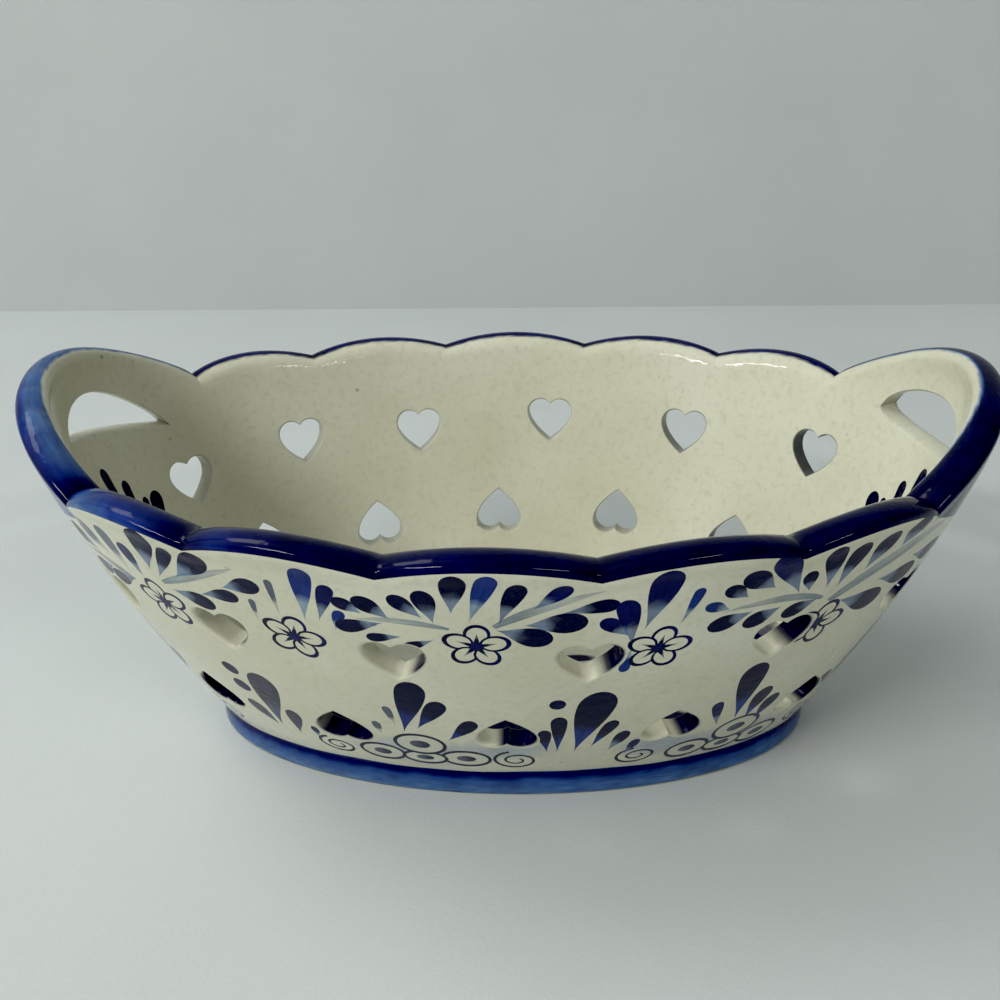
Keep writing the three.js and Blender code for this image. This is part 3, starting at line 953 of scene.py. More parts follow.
def make_piece(name, patches, material, node):
    """Joins patches into one smooth mesh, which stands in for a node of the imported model."""
    points = []
    faces = []
    normals = []
    paint = []
    brush = []
    for patch in patches:
        faces += (patch.faces + sum(map(len, points))).tolist()
        points.append(patch.points)
        normals.append(patch.normals[patch.faces].reshape(-1, 3))
        paint.append(patch.paint.reshape(-1, 4))
        brush.append(patch.brush.reshape(-1, 3))
    mesh = bpy.data.meshes.new(name)
    mesh.from_pydata((np.concatenate(points) * MM).tolist(), [], faces)
    layers = (("paint", "FLOAT_COLOR", "color", paint), ("brush", "FLOAT_VECTOR", "vector", brush),
              ("facing", "FLOAT_VECTOR", "vector", normals))
    for layer, kind, field, values in layers:
        attribute = mesh.attributes.new(layer, kind, "CORNER")
        attribute.data.foreach_set(field, np.concatenate(values).astype(np.float32).ravel())
    work = bmesh.new()
    work.from_mesh(mesh)
    bmesh.ops.remove_doubles(work, verts=work.verts, dist=WELD)
    work.to_mesh(mesh)
    work.free()
    facing = np.zeros(3 * len(mesh.loops), np.float32)
    mesh.attributes["facing"].data.foreach_get("vector", facing)
    mesh.shade_smooth()
    mesh.normals_split_custom_set(unit(facing.reshape(-1, 3)).tolist())
    mesh.attributes.remove(mesh.attributes["facing"])
    mesh.materials.append(material)
    piece = add_object(name, mesh)
    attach(piece, "root")
    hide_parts(node)
    return piece


# Columns of the rim, with one on every cusp, crown and slot tip

def steps(start, end, count):
    return np.linspace(start, end, count, endpoint=False)


def root_steps(start, end):
    return steps(start, end, round((end - start) / ROOT_STEP))


def handle_angles(middle, slot):
    front = slot["shift"] - slot["half_angle"]
    back = slot["shift"] + slot["half_angle"]
    first, last = (front, back) if middle == 0 else (middle - back, middle - front)
    return np.concatenate([
        root_steps(middle - HANDLE_REACH, first),
        steps(first, last, SLOT_STEPS),
        root_steps(last, middle + HANDLE_REACH),
    ])


def lip_angles(middle):
    half = math.pi / 2 - HANDLE_REACH
    return steps(middle - half, middle + half, SCALLOPS_PER_SIDE * SCALLOP_STEPS)


def rim_angles():
    """From the chart's cut round by the back, the left end, the front and the right end to the cut."""
    right = handle_angles(0.0, RIGHT_SLOT)
    is_behind = right > CHART_CUT - 1e-6
    return np.concatenate([
        right[is_behind] - FULL_TURN, lip_angles(-1.5 * math.pi), handle_angles(-math.pi, LEFT_SLOT),
        lip_angles(-0.5 * math.pi), right[~is_behind], [CHART_CUT],
    ])


# Hearts

def heart_outline(width, height):
    """A heart, point down, about its own middle: round lobes and curved flanks."""
    half = width / 2
    tip = -height / 2
    lobe = half + HEART_CLEFT - math.sqrt(2 * half * HEART_CLEFT)
    lobe_middle = half - lobe
    lobe_height = height / 2 - lobe
    cleft_turn = math.pi - math.acos(lobe_middle / lobe)
    flank = lobe_height + (tip - lobe_height) * HEART_FLANK
    share = steps(0, 1, HEART_FLANK_STEPS)
    up_x = 2 * half * share * (1 - share) + half * share ** 2
    up_y = tip * (1 - share) ** 2 + 2 * flank * share * (1 - share) + lobe_height * share ** 2
    turn = steps(0, cleft_turn, HEART_ARC_STEPS)
    over_x = lobe_middle + lobe * np.cos(turn)
    over_y = lobe_height + lobe * np.sin(turn)
    cleft = [0.0], [lobe_height + lobe * math.sin(cleft_turn)]
    right = np.stack([np.concatenate([up_x, over_x, cleft[0]]), np.concatenate([up_y, over_y, cleft[1]])], 1)
    left = right[1:-1][::-1] * (-1, 1)
    return np.concatenate([right, left])


class Heart:
    """One pierced heart: its place on the wall, and its own flat frame square to the way it was cut."""

    def __init__(self, angle, height, tip_up):
        self.angle = angle
        self.height = height
        self.tip_up = tip_up
        self.middle = wall_point(angle, height, WALL_THICKNESS / 2)
        along = wall_point(angle + NUDGE, height, 0.0) - wall_point(angle - NUDGE, height, 0.0)
        self.along = unit(along * (1, 1, 0))
        self.out = unit(np.array([self.along[1], -self.along[0], -math.tan(HEART_DROOP)]))
        self.upright = np.cross(self.out, self.along)
        grown = 2 * OUTER_HEART_ROUND
        outline = heart_outline(HEART_WIDTH + grown, HEART_HEIGHT + grown)
        self.outline = -outline if tip_up else outline

    def flat(self, points):
        offset = points - self.middle
        return np.stack([offset @ self.along, offset @ self.upright], axis=1)

    def land(self, surface, flat):
        """Chart angles and heights where lines square to the heart's plane meet a face of the wall."""
        angle = np.full(len(flat), self.angle)
        height = np.full(len(flat), self.height)
        for _ in range(LAND_ROUNDS):
            miss = self.flat(surface(angle, height)) - flat
            turn = (surface(angle + NUDGE, height) - surface(angle - NUDGE, height)) / (2 * NUDGE)
            rise = (surface(angle, height + NUDGE) - surface(angle, height - NUDGE)) / (2 * NUDGE)
            a, b = turn @ self.along, rise @ self.along
            c, d = turn @ self.upright, rise @ self.upright
            size = a * d - b * c
            angle = angle - (d * miss[:, 0] - b * miss[:, 1]) / size
            height = height - (a * miss[:, 1] - c * miss[:, 0]) / size
        return angle, height


def hearts():
    found = []
    for row, tip_up in ((UPPER_HEARTS, False), (LOWER_HEARTS, True)):
        for degrees, height in row:
            angle = degrees * DEGREE
            found.append(Heart(angle if angle < CHART_CUT else angle - FULL_TURN, height, tip_up))
    return found


# Navy painted shade in the hearts' sides: where in depth and across it starts, how soft its edge is, and how
# thick and deep the thinner shade behind goes.
HEART_SHADE_DEPTH = (0.06, 0.2)
HEART_SHADE_EDGE = 0.25
HEART_SHADE_START = 0.55
BACK_HEART_SHADE = (0.25, 0.6)
BACK_HEART_SHADE_END = (0.7, 0.95)
LAND_ROUNDS = 8
BORDER_STEPS = 36


def heart_shade_paint(heart, flat, depth):
    """Navy in the hearts' sides, painted shade for the dark seen in them: in front most on the left, and
    behind a thin shade, thicker to the right.
    """
    across = flat[:, :1] / (HEART_WIDTH / 2)
    to_right = (heart.angle - FRONT_MIDDLE) / HANDLE_REACH
    start = np.clip(-0.4 + 1.2 * to_right, -1.5, HEART_SHADE_START) if heart.tip_up else HEART_SHADE_START
    cover = smooth_step(*HEART_SHADE_DEPTH, depth) * smooth_step(start - HEART_SHADE_EDGE, start + HEART_SHADE_EDGE, across)
    if math.sin(heart.angle) > 0:
        back_shade = BACK_HEART_SHADE[0] + BACK_HEART_SHADE[1] * smooth_step(0.2, 0.75, math.cos(heart.angle))
        cover = back_shade * smooth_step(*HEART_SHADE_DEPTH, depth) * (1 - smooth_step(*BACK_HEART_SHADE_END, depth)) + 0 * across
    paint = np.broadcast_to(NAVY, cover.shape + (4,)).copy()
    paint[..., 3] = cover
    return paint


def heart_tunnel(heart, places):
    """The glazed side of one heart, with soft edges, from a loop of chart places to the inner face."""
    edge = outer_point(chart_angle(places[:, 0]), places[:, 1])
    flat = heart.flat(edge)
    size = np.array([HEART_WIDTH, HEART_HEIGHT])
    grown = size + 2 * OUTER_HEART_ROUND
    way = unit(np.roll(edge, -1, axis=0) - np.roll(edge, 1, axis=0))
    away = unit(np.cross(way, heart.out))
    away *= np.sign(np.sum(away * (edge - edge.mean(axis=0)), axis=1, keepdims=True))
    rings = []
    normals = []
    faces = ((outer_point, 1, OUTER_HEART_ROUND), (inner_point, -1, INNER_HEART_ROUND))
    for surface, side, rounding in faces:
        part = []
        part_normals = []
        for i in range(ROUND_STEPS + 1):
            turn = math.pi / 2 * i / ROUND_STEPS
            share = (size + 2 * rounding * (1 - math.sin(turn))) / grown
            angle, height = heart.land(surface, flat * share)
            depth = rounding * (1 - math.cos(turn))
            part.append(surface(angle, height) - side * depth * heart.out)
            face_out = side * surface_normal(surface, angle, height)
            part_normals.append(unit(face_out * math.cos(turn) - away * math.sin(turn)))
            if i == 0 and side == -1:
                inner_places = np.stack([chart_length(angle), height], axis=1)
        rings += part[::side]
        normals += part_normals[::side]
    points = np.stack(rings, axis=1)
    points[:, 0] = edge
    depth = np.linspace(0, 1, points.shape[1])
    # The heart's sides carry navy painted shade.
    patch = grid_patch(points, ring_closed=True, paint=heart_shade_paint(heart, flat, depth))
    patch.normals = np.stack(normals, axis=1).reshape(-1, 3)
    facing = np.einsum("ij,ij->i", face_normals(patch), patch.normals[patch.faces[:, 0]])
    if np.median(facing) < 0:
        patch.turn_faces()
    return patch, inner_places


def face_normals(patch):
    corners = patch.points[patch.faces[:, :3]]
    return np.cross(corners[:, 1] - corners[:, 0], corners[:, 2] - corners[:, 0])


# Pierced wall

def chart_border(top, low_lengths):
    """Outline of a face of the wall on the chart, counter-clockwise from its lower left corner."""
    side = np.linspace(0, 1, BORDER_STEPS)[1:-1]
    left_low, right_low = low_lengths[0], low_lengths[-1]
    right = FOOT_HEIGHT + (top[-1, 1] - FOOT_HEIGHT) * side
    bottom = np.stack([low_lengths, np.full(len(low_lengths), FOOT_HEIGHT)], axis=1)
    right_side = np.stack([np.full(len(right), right_low), right], axis=1)
    left_side = np.stack([np.full(len(right), left_low), right[::-1]], axis=1)
    return np.concatenate([bottom, right_side, top[::-1], left_side])


def sheet_patch(sheet, surface, side):
    angle = chart_angle_clear(sheet.places[:, 0])
    height = sheet.places[:, 1]
    normals = side * surface_normal(surface, angle, height)
    order = slice(None) if side > 0 else slice(None, None, -1)
    return Patch(surface(angle, height), normals, sheet.triangles[:, order],
                 sheet.paint[:, order], sheet.brush[:, order])


def chart_angle_clear(length):
    """Chart angle, with both ends of the chart kept apart."""
    return np.interp(length, CHART_LENGTHS, CHART_ANGLES)


def between(loop, places, start, end):
    """The stretch of a border loop from the vertex nearest one place to the vertex nearest another."""
    spots = places[loop]
    first = int(np.argmin(np.hypot(*(spots - start).T)))
    loop = loop[first:] + loop[:first]
    last = int(np.argmin(np.hypot(*(places[loop] - end).T)))
    return loop[:last + 1]


def build_wall(material):
    """Both painted faces of the wall, the sides of its hearts, and the bands along its top and foot."""
    angles = rim_angles()
    angles[0], angles[-1] = CHART_ANGLES[0], CHART_ANGLES[-1]
    lengths = np.interp(angles, CHART_ANGLES, CHART_LENGTHS)
    top = np.stack([lengths, sheet_top(angles)], axis=1)
    found = hearts()
    rims = []
    for heart in found:
        angle, height = heart.land(outer_point, heart.outline)
        rims.append(np.stack([chart_length(angle), height], axis=1))

    def top_at(length):
        return np.interp(length, top[:, 0], top[:, 1])

    outer = painted_sheet(chart_border(top, lengths), top_at, rims, outside_strokes())
    loops = outer.border_loops()
    patches = [sheet_patch(outer, outer_point, 1)]
    inner_rims = []
    middles = np.array([[chart_length(heart.angle), heart.height] for heart in found])
    for loop in loops[1:]:
        places = outer.places[loop]
        nearest = int(np.argmin(np.hypot(*(middles - places.mean(axis=0)).T)))
        tunnel, inner_places = heart_tunnel(found[nearest], places)
        patches.append(tunnel)
        inner_rims.append(inner_places)
    corners = {
        "low_left": (lengths[0], FOOT_HEIGHT), "low_right": (lengths[-1], FOOT_HEIGHT),
        "top_left": tuple(top[0]), "top_right": tuple(top[-1]),
    }
    low = outer.places[between(loops[0], outer.places, corners["low_left"], corners["low_right"])]
    high = outer.places[between(loops[0], outer.places, corners["top_right"], corners["top_left"])][::-1]
    inner = painted_sheet(chart_border(high, low[:, 0]), top_at, inner_rims, around(inside_strokes(), True))
    patches.append(sheet_patch(inner, inner_point, -1))
    patches.append(top_band(high))
    patches.append(low_band(low))
    return make_piece("pierced_wall_glazed", patches, material, "pierced_wall")


def top_band(places):
    """Over the top of the wall from face to face, rounded along the slots' sills."""
    angle = chart_angle_clear(places[:, 0])[:, None]
    height = places[:, 1][:, None]
    turn = np.linspace(0, math.pi, EDGE_ROWS + 1)[None, :]
    rounding = np.where(is_on_handle(angle), slot_round(angle), 0.0)
    outer_inset, inner_inset = face_insets(angle, height)
    inset = outer_inset + (inner_inset - outer_inset) * (1 - np.cos(turn)) / 2
    points = wall_point(angle, height + rounding * np.sin(turn), inset)
    return grid_patch(points)


def low_band(places):
    angle = chart_angle_clear(places[:, 0])[:, None]
    inset = np.array([[0.0, WALL_THICKNESS]])
    shape = (len(places), 2)
    points = wall_point(angle, np.full(shape, FOOT_HEIGHT), np.broadcast_to(inset, shape))
    return grid_patch(points, flip=True)


# Lips and handles

def waves(values, seed):
    """A smooth, uneven ripple from -1 to 1 along a length."""
    draw = np.random.default_rng(seed)
    total = np.zeros_like(values)
    for scale in RIPPLE_SCALES:
        total = total + np.sin(values / scale * FULL_TURN + draw.uniform(0, FULL_TURN))
    return total / len(RIPPLE_SCALES)


RIM_TONES = np.array([NAVY, INK, COBALT, BLUE, PALE])
CUSP_DASH = 0.42
HANDLE_DASH = 7.0
EDGE_SOFTNESS = 0.03
INNER_EDGE = 0.7
FRONT_EDGE_GROWTH = 0.27
RAGGEDNESS = 0.03
BRUSH_HEIGHT = 5.0
RIPPLE_SCALES = (31.0, 13.0, 6.0, 2.6)


def toned(tone):
    """Colour on the scale of the rim's tones: 0 is navy, 1 ink, 2 cobalt, 3 blue and 4 pale."""
    scale = np.arange(len(RIM_TONES))
    return np.stack([np.interp(tone, scale, channel) for channel in RIM_TONES.T], axis=-1)


def front_lip_tone(angle, across):
    """Nearly black, but watery at the left end and where each stroke on the left sets off."""
    left = smooth_step(-106 * DEGREE, -138 * DEGREE, angle)
    along = (angle + math.pi - HANDLE_REACH) / SCALLOP_SPAN
    set_off = 1 - smooth_step(0.1, 0.5, along - np.floor(along))
    left_half = smooth_step(-72 * DEGREE, -100 * DEGREE, angle)
    return 0.1 + left * (1.0 + 1.6 * (1 - across)) + 0.8 * left_half * set_off


def back_lip_tone(angle, across):
    """An even, thin line of ink."""
    return np.full_like(across, 1.0)


def left_handle_tone(angle, across):
    """A dark outer edge, and a watery grey blue over the top."""
    return 1.5 + 1.4 * smooth_step(0.15, 0.6, across)


def right_handle_tone(angle, across):
    """Nearly black, with a light fringe along its inner edge."""
    return 0.1 + 3.7 * smooth_step(0.86, 0.96, across)


def rim_paint(angle, across, tone, seed):
    """Brushed cobalt from the outer edge up to an inner one, with navy dashes where two bows meet."""
    length = chart_length(angle)
    ripple = 0.35 * waves(length, seed) + 0.2 * waves(3.1 * length + 9 * across, seed + 1)
    from_joint = np.where(is_on_handle(angle), HANDLE_DASH * (1 - handle_share(angle)), scallop_arc(angle))
    dash = np.exp(-(from_joint / CUSP_DASH) ** 2)
    grown = FRONT_EDGE_GROWTH * smooth_step(0.3, 0.95, handle_share(angle)) * (np.sin(angle) < 0)
    edge = INNER_EDGE + grown
    colour = toned((tone(angle, across / edge) + ripple) * (1 - dash))
    ragged = edge + RAGGEDNESS * waves(length, seed + 2)
    colour[..., 3] *= 1 - smooth_step(ragged - EDGE_SOFTNESS, ragged + EDGE_SOFTNESS, across)
    brush = np.stack(np.broadcast_arrays(length, BRUSH_HEIGHT * across, np.full_like(length, seed)), axis=-1)
    return colour, brush


ROLL_START = math.asin((LIP_ROUND - LIP_BAND) / LIP_ROUND)


def bow_columns(angles, end):
    """A column of angles up to an end, kept just inside the joints with the next lip or handle."""
    columns = np.append(angles, end)
    columns[0] += JOINT_CLEAR
    columns[-1] -= JOINT_CLEAR
    return columns[:, None]


def build_lip(name, middle, node, tone, seed, material):
    """The painted roll along one long side, from under its outer edge over the top to its inner edge."""
    angle = bow_columns(lip_angles(middle), middle + math.pi / 2 - HANDLE_REACH)
    share = np.linspace(0, 1, LIP_ROWS + 1)[None, :]
    turn = ROLL_START + (math.pi - 2 * ROLL_START) * share
    middle_inset, reach = roll(angle)
    inset = middle_inset - reach * np.cos(turn)
    height = crest_height(angle) - LIP_ROUND + LIP_ROUND * np.sin(turn)
    points = wall_point(angle, height, inset)
    angle, share = np.broadcast_arrays(angle, share)
    paint, brush = rim_paint(angle, share, tone, seed)
    top = grid_patch(points, paint=paint, brush=brush)
    under = grid_patch(points[:, [-1, 0]])
    patches = [top, under, end_cap(points[0], 1), end_cap(points[-1], -1)]
    return make_piece(name, patches, material, node)


def end_cap(outline, side):
    """A flat fan that closes the end of a bow or lip, inside the joint with its neighbour."""
    middle = outline.mean(axis=0)
    points = np.concatenate([outline, middle[None]])
    count = len(outline)
    here = np.arange(count)
    faces = np.stack([here, np.roll(here, -1), np.full(count, count)], axis=1)[:, ::side]
    normal = unit(np.cross(outline[count // 3] - middle, outline[0] - middle)) * -side
    return Patch(points, np.broadcast_to(normal, points.shape).copy(), faces)


def build_handle(name, middle, slot, node, tone, seed, material):
    """A bow over its finger slot: outer face, round top, inner face and soft underside."""
    angle = bow_columns(handle_angles(middle, slot), middle + HANDLE_REACH)
    rounding = slot_round(angle)
    low = slot_edge(angle, "arch") + rounding
    crest = crest_height(angle)
    face = np.linspace(0, 1, HANDLE_FACE_ROWS + 1)[None, :]
    over = np.linspace(0, 1, LIP_ROWS + 1)[None, 1:-1]
    turn = ROLL_START + (math.pi - 2 * ROLL_START) * over
    face_height = low + (crest - LIP_BAND - low) * face
    outer_inset, inner_inset = face_insets(angle, face_height)
    middle_inset, reach = roll(angle)
    top_height = crest - LIP_ROUND + LIP_ROUND * np.sin(turn)
    top_inset = middle_inset - reach * np.cos(turn)
    height = np.concatenate([face_height, top_height, face_height[:, ::-1]], axis=1)
    inset = np.concatenate([outer_inset, top_inset, inner_inset[:, ::-1]], axis=1)
    points = wall_point(angle, height, inset)
    across = np.concatenate([np.zeros_like(face[0]), over[0], np.ones_like(face[0])])[None, :]
    wide_angle, across = np.broadcast_arrays(angle, across)
    paint, brush = rim_paint(wide_angle, across, tone, seed)
    skin = grid_patch(points, paint=paint, brush=brush)
    under_turn = np.linspace(0, math.pi, EDGE_ROWS + 1)[None, :]
    inner, outer = inset[:, -1:], inset[:, :1]
    under_inset = inner + (outer - inner) * (1 - np.cos(under_turn)) / 2
    under = wall_point(angle, low - rounding * np.sin(under_turn), under_inset)
    cover = np.zeros(under.shape[:2] + (4,))
    cover[:, -1] = paint[:, 0]
    cover[:, -2] = paint[:, 0]
    patches = [skin, grid_patch(under, paint=cover)]
    section = np.concatenate([points, under[:, 1:-1]], axis=1)
    patches += [end_cap(section[0], 1), end_cap(section[-1], -1)]
    return make_piece(name, patches, material, node)


# Floor and foot: the floor's radius is a share of its flat part, and passes 1 up the cove

FLOOR_COLUMNS = 396
FLOOR_RINGS = 60
COVE_ROWS = 10
# Rings of leaves on the floor: count, inner and outer radius, and share of the turn that they fill.
FLOOR_LEAVES = [(22, 0.64, 1.17, 0.9), (8, 0.11, 0.34, 0.7)]
# Thin grey painted shade over the middle of the floor, fading out towards its edge.
FLOOR_SHADE = srgb(104, 108, 106, 0.4)
LEAF_EDGE = 0.12
EYE_REACH = 0.08
EYE_EDGE = 0.01
FLOOR_SHADE_FADE = (0.5, 1.0)
FLOOR_EYE = 0.02
COVE_REACH = 0.16


def floor_paint(angle, radius):
    """A close wreath of dark leaves round the floor, a small flower at its middle, and thin grey painted
    shade over the middle.
    """
    cover = 1 - smooth_step(EYE_REACH - EYE_EDGE, EYE_REACH + EYE_EDGE, radius + 0 * angle)
    for count, low, high, width in FLOOR_LEAVES:
        along = (radius - low) / (high - low)
        turns = angle * count / FULL_TURN
        spread = width * (0.55 + 0.45 * np.clip(along, 0, 1))
        across = 2 * np.abs(turns - np.floor(turns) - 0.5) / spread
        from_middle = np.hypot(2 * along - 1, across)
        cover = np.maximum(cover, 1 - smooth_step(1 - LEAF_EDGE, 1 + LEAF_EDGE, from_middle))
    # This grey is painted shade on the floor.
    wash = np.broadcast_to(FLOOR_SHADE, cover.shape + (4,)).copy()
    wash[..., 3] *= 1 - smooth_step(*FLOOR_SHADE_FADE, radius)
    leaf_share = cover[..., None]
    return NAVY * leaf_share + wash * (1 - leaf_share)


def build_floor(material):
    """The painted floor slab, coved up to the wall."""
    angle = steps(0, FULL_TURN, FLOOR_COLUMNS)[:, None]
    top = FOOT_HEIGHT + FLOOR_THICKNESS
    turn = np.linspace(0, math.pi / 2, COVE_ROWS + 1)[None, :]
    cove_inset = WALL_THICKNESS + FLOOR_COVE * (1 - np.sin(turn))
    cove_height = top + FLOOR_COVE * (1 - np.cos(turn))
    cove = wall_point(angle, np.broadcast_to(cove_height, (FLOOR_COLUMNS, COVE_ROWS + 1)), cove_inset)
    share = np.linspace(FLOOR_EYE, 1, FLOOR_RINGS)[None, :, None]
    flat = cove[:, :1] * share
    flat[..., 2] = top
    points = np.concatenate([flat, cove[:, 1:]], axis=1)
    radius = np.concatenate([share[0, :, 0], 1 + COVE_REACH * np.sin(turn[0, 1:])])[None, :]
    surface = grid_patch(points, ring_closed=True, paint=floor_paint(angle, radius))
    foot_level = np.full(FLOOR_COLUMNS, FOOT_HEIGHT)
    rim = np.stack([points[:, -1], wall_point(angle[:, 0], foot_level, WALL_THICKNESS)], axis=1)
    side = grid_patch(rim, ring_closed=True)
    below = np.stack([rim[:, 1], rim[:, 1] * (FLOOR_EYE, FLOOR_EYE, 1)], axis=1)
    bottom = grid_patch(below, ring_closed=True)
    patches = [surface, side, bottom]
    for patch in patches:
        patch.turn_faces()
        patch.normals = -patch.normals
    return make_piece("floor_glazed", patches, material, "floor")


FOOT_COLUMNS = 200
FOOT_SIDE_ROWS = 10
FOOT_ROUND_ROWS = 5
# Tones of the foot's wash, from its top edge to the table.
WASH_DEPTHS = [0.0, 0.16, 0.28, 0.6, 1.0]
WASH_TONES = [0.8, 1.1, 2.3, 2.9, 3.2]


def build_foot(material):
    """The foot ring: a dark line at its top, a thinner wash below, and bare clay where it stands."""
    angle = steps(0, FULL_TURN, FOOT_COLUMNS)[:, None]
    turn = np.linspace(0, math.pi / 2, FOOT_ROUND_ROWS + 1)[1:]
    side = np.linspace(FOOT_HEIGHT, FOOT_EDGE_ROUND, FOOT_SIDE_ROWS)
    round_inset = FOOT_EDGE_ROUND * (1 - np.cos(turn))
    round_height = FOOT_EDGE_ROUND * (1 - np.sin(turn))
    inner_half = FOOT_RING_WIDTH / 2
    under_inset = [inner_half, inner_half + FOOT_EDGE_ROUND, FOOT_RING_WIDTH]
    inset = np.concatenate([np.zeros(FOOT_SIDE_ROWS), round_inset, under_inset])
    height = np.concatenate([side, round_height, [0.0, FOOT_EDGE_ROUND, FOOT_HEIGHT]])
    shape = (FOOT_COLUMNS, len(inset))
    wide_inset, wide_height = np.broadcast_to(inset, shape), np.broadcast_to(height, shape)
    points = oval_point(FOOT_LENGTH / 2, FOOT_WIDTH / 2, angle, wide_inset, wide_height)
    length = chart_length(angle)
    share = 1 - wide_height / FOOT_HEIGHT + 0.07 * waves(length, 40)
    streaks = 0.35 * waves(0.8 * length + 11 * wide_height, 42)
    left = 0.4 * np.maximum(-np.cos(angle), 0)
    colour = toned(np.interp(share, WASH_DEPTHS, WASH_TONES) + share * (streaks + left))
    glazed = (np.arange(len(inset)) < FOOT_SIDE_ROWS + 2)[None, :]
    colour = np.where(np.broadcast_to(glazed, share.shape)[..., None], colour, BARE)
    brush = np.stack(np.broadcast_arrays(length, height[None, :], np.full((1, 1), 41.0)), axis=-1)
    ring_skin = grid_patch(points, ring_closed=True, paint=colour, brush=brush, flip=True)
    lid = grid_patch(points[:, [-1, 0]], ring_closed=True, flip=True)
    return make_piece("foot_ring_glazed", [ring_skin, lid], material, "foot_ring")


# Glaze

class Tree:
    """Short calls to add and join the shader nodes of a material or a world."""

    def __init__(self, owner):
        owner.use_nodes = True
        self.tree = owner.node_tree
        self.shader = self.tree.nodes.get("Principled BSDF")

    def add(self, kind, **values):
        node = self.tree.nodes.new(kind)
        for name, value in values.items():
            setattr(node, name, value)
        return node

    def link(self, source, target):
        self.tree.links.new(source, target)

    def noise(self, vector, scale, detail=2.0, roughness=0.5):
        node = self.add("ShaderNodeTexNoise")
        node.inputs["Scale"].default_value = scale
        node.inputs["Detail"].default_value = detail
        node.inputs["Roughness"].default_value = roughness
        self.link(vector, node.inputs["Vector"])
        return node.outputs["Fac"]

    def spread(self, value, low, high, to_low, to_high):
        node = self.add("ShaderNodeMapRange")
        for name, number in (("From Min", low), ("From Max", high), ("To Min", to_low), ("To Max", to_high)):
            node.inputs[name].default_value = number
        self.link(value, node.inputs["Value"])
        return node.outputs["Result"]

    def math(self, operation, first, second):
        node = self.add("ShaderNodeMath", operation=operation)
        for socket, value in zip(node.inputs, (first, second)):
            if isinstance(value, (int, float)):
                socket.default_value = value
            else:
                self.link(value, socket)
        return node.outputs[0]

    def bump(self, height, strength, distance):
        node = self.add("ShaderNodeBump")
        node.inputs["Strength"].default_value = strength
        node.inputs["Distance"].default_value = distance
        self.link(height, node.inputs["Height"])
        self.link(node.outputs["Normal"], self.shader.inputs["Normal"])

    def mix(self, factor, first, second, blend="MIX"):
        node = self.add("ShaderNodeMix", data_type="RGBA", blend_type=blend)
        for socket, value in ((node.inputs[0], factor), (node.inputs[6], first), (node.inputs[7], second)):
            if isinstance(value, (int, float)):
                socket.default_value = value
            elif isinstance(value, (tuple, np.ndarray)):
                socket.default_value = (*value[:3], 1.0)
            else:
                self.link(value, socket)
        return node.outputs[2]


CREAM = srgb(212, 213, 194)
CREAM_WARM = srgb(199, 198, 175)
SPECK = srgb(96, 84, 64)
BUMP_STRENGTH = 0.15
GLAZE_RELIEF = 0.0012
CLOTH_RELIEF = 0.0003


def painted_glaze(name):
    """Clear glaze over cream clay, with the brushwork that the mesh carries."""
    material = bpy.data.materials.new(name)
    tree = Tree(material)
    place = tree.add("ShaderNodeTexCoord").outputs["Object"]
    cloudy = tree.noise(place, 38.0, 3.0)
    cream = tree.mix(tree.spread(cloudy, 0.3, 0.7, 0.0, 1.0), CREAM, CREAM_WARM)
    grain = tree.noise(place, 750.0, 3.0, 0.7)
    cream = tree.mix(tree.spread(grain, 0.5, 0.75, 0.0, 0.5), cream, CREAM_WARM * 0.8)
    specks = tree.add("ShaderNodeTexVoronoi")
    specks.inputs["Scale"].default_value = 120.0
    tree.link(place, specks.inputs["Vector"])
    cream = tree.mix(tree.spread(specks.outputs["Distance"], 0.03, 0.06, 0.5, 0.0), cream, SPECK)
    paint = tree.add("ShaderNodeAttribute", attribute_name="paint")
    brush = tree.add("ShaderNodeAttribute", attribute_name="brush")
    streak_scale = tree.add("ShaderNodeMapping")
    streak_scale.inputs["Scale"].default_value = (0.16, 1.5, 1.0)
    tree.link(brush.outputs["Vector"], streak_scale.inputs["Vector"])
    streak = tree.noise(streak_scale.outputs["Vector"], 1.0, 4.0, 0.6)
    pooled = tree.noise(place, 210.0, 3.0, 0.6)
    flow = tree.math("ADD", tree.math("MULTIPLY", streak, 0.6), tree.math("MULTIPLY", pooled, 0.4))
    lighter = tree.mix(1.0, paint.outputs["Color"], (1.6, 1.5, 1.35), "MULTIPLY")
    darker = tree.mix(1.0, paint.outputs["Color"], (0.55, 0.55, 0.65), "MULTIPLY")
    colour = tree.mix(tree.spread(flow, 0.36, 0.64, 0.0, 1.0), darker, lighter)
    tree.link(tree.mix(paint.outputs["Alpha"], cream, colour), tree.shader.inputs["Base Color"])
    tree.link(tree.spread(pooled, 0.3, 0.7, 0.05, 0.12), tree.shader.inputs["Roughness"])
    tree.shader.inputs["IOR"].default_value = 1.5
    tree.shader.inputs["Specular IOR Level"].default_value = 0.13
    lumps = tree.noise(place, 75.0, 2.0)
    peel = tree.noise(place, 620.0, 1.0)
    relief = tree.math("ADD", lumps, tree.math("MULTIPLY", peel, 0.34))
    tree.bump(relief, BUMP_STRENGTH, GLAZE_RELIEF)
    return material


# Stage, light and camera. The camera's place is in millimetres, and those of the stage and lights in metres.

CLOTH = srgb(206, 212, 211)
# The backdrop is the table's cloth painted darker: painted shade for an upright sheet that takes less light.
BACKDROP_SHADE = 0.92
BACKDROP_AT = 0.288
FOCAL_PIXELS = 1100
IMAGE_PIXELS = 1000
CAMERA_PLACE = (8.85, -173.93, 124.15)
CAMERA_YAW = -3.26 * DEGREE
CAMERA_PITCH = 24.93 * DEGREE
CAMERA_ROLL = -1.29 * DEGREE
SENSOR_WIDTH = 36.0
WARM_LIGHT = (1.0, 0.99, 0.95)


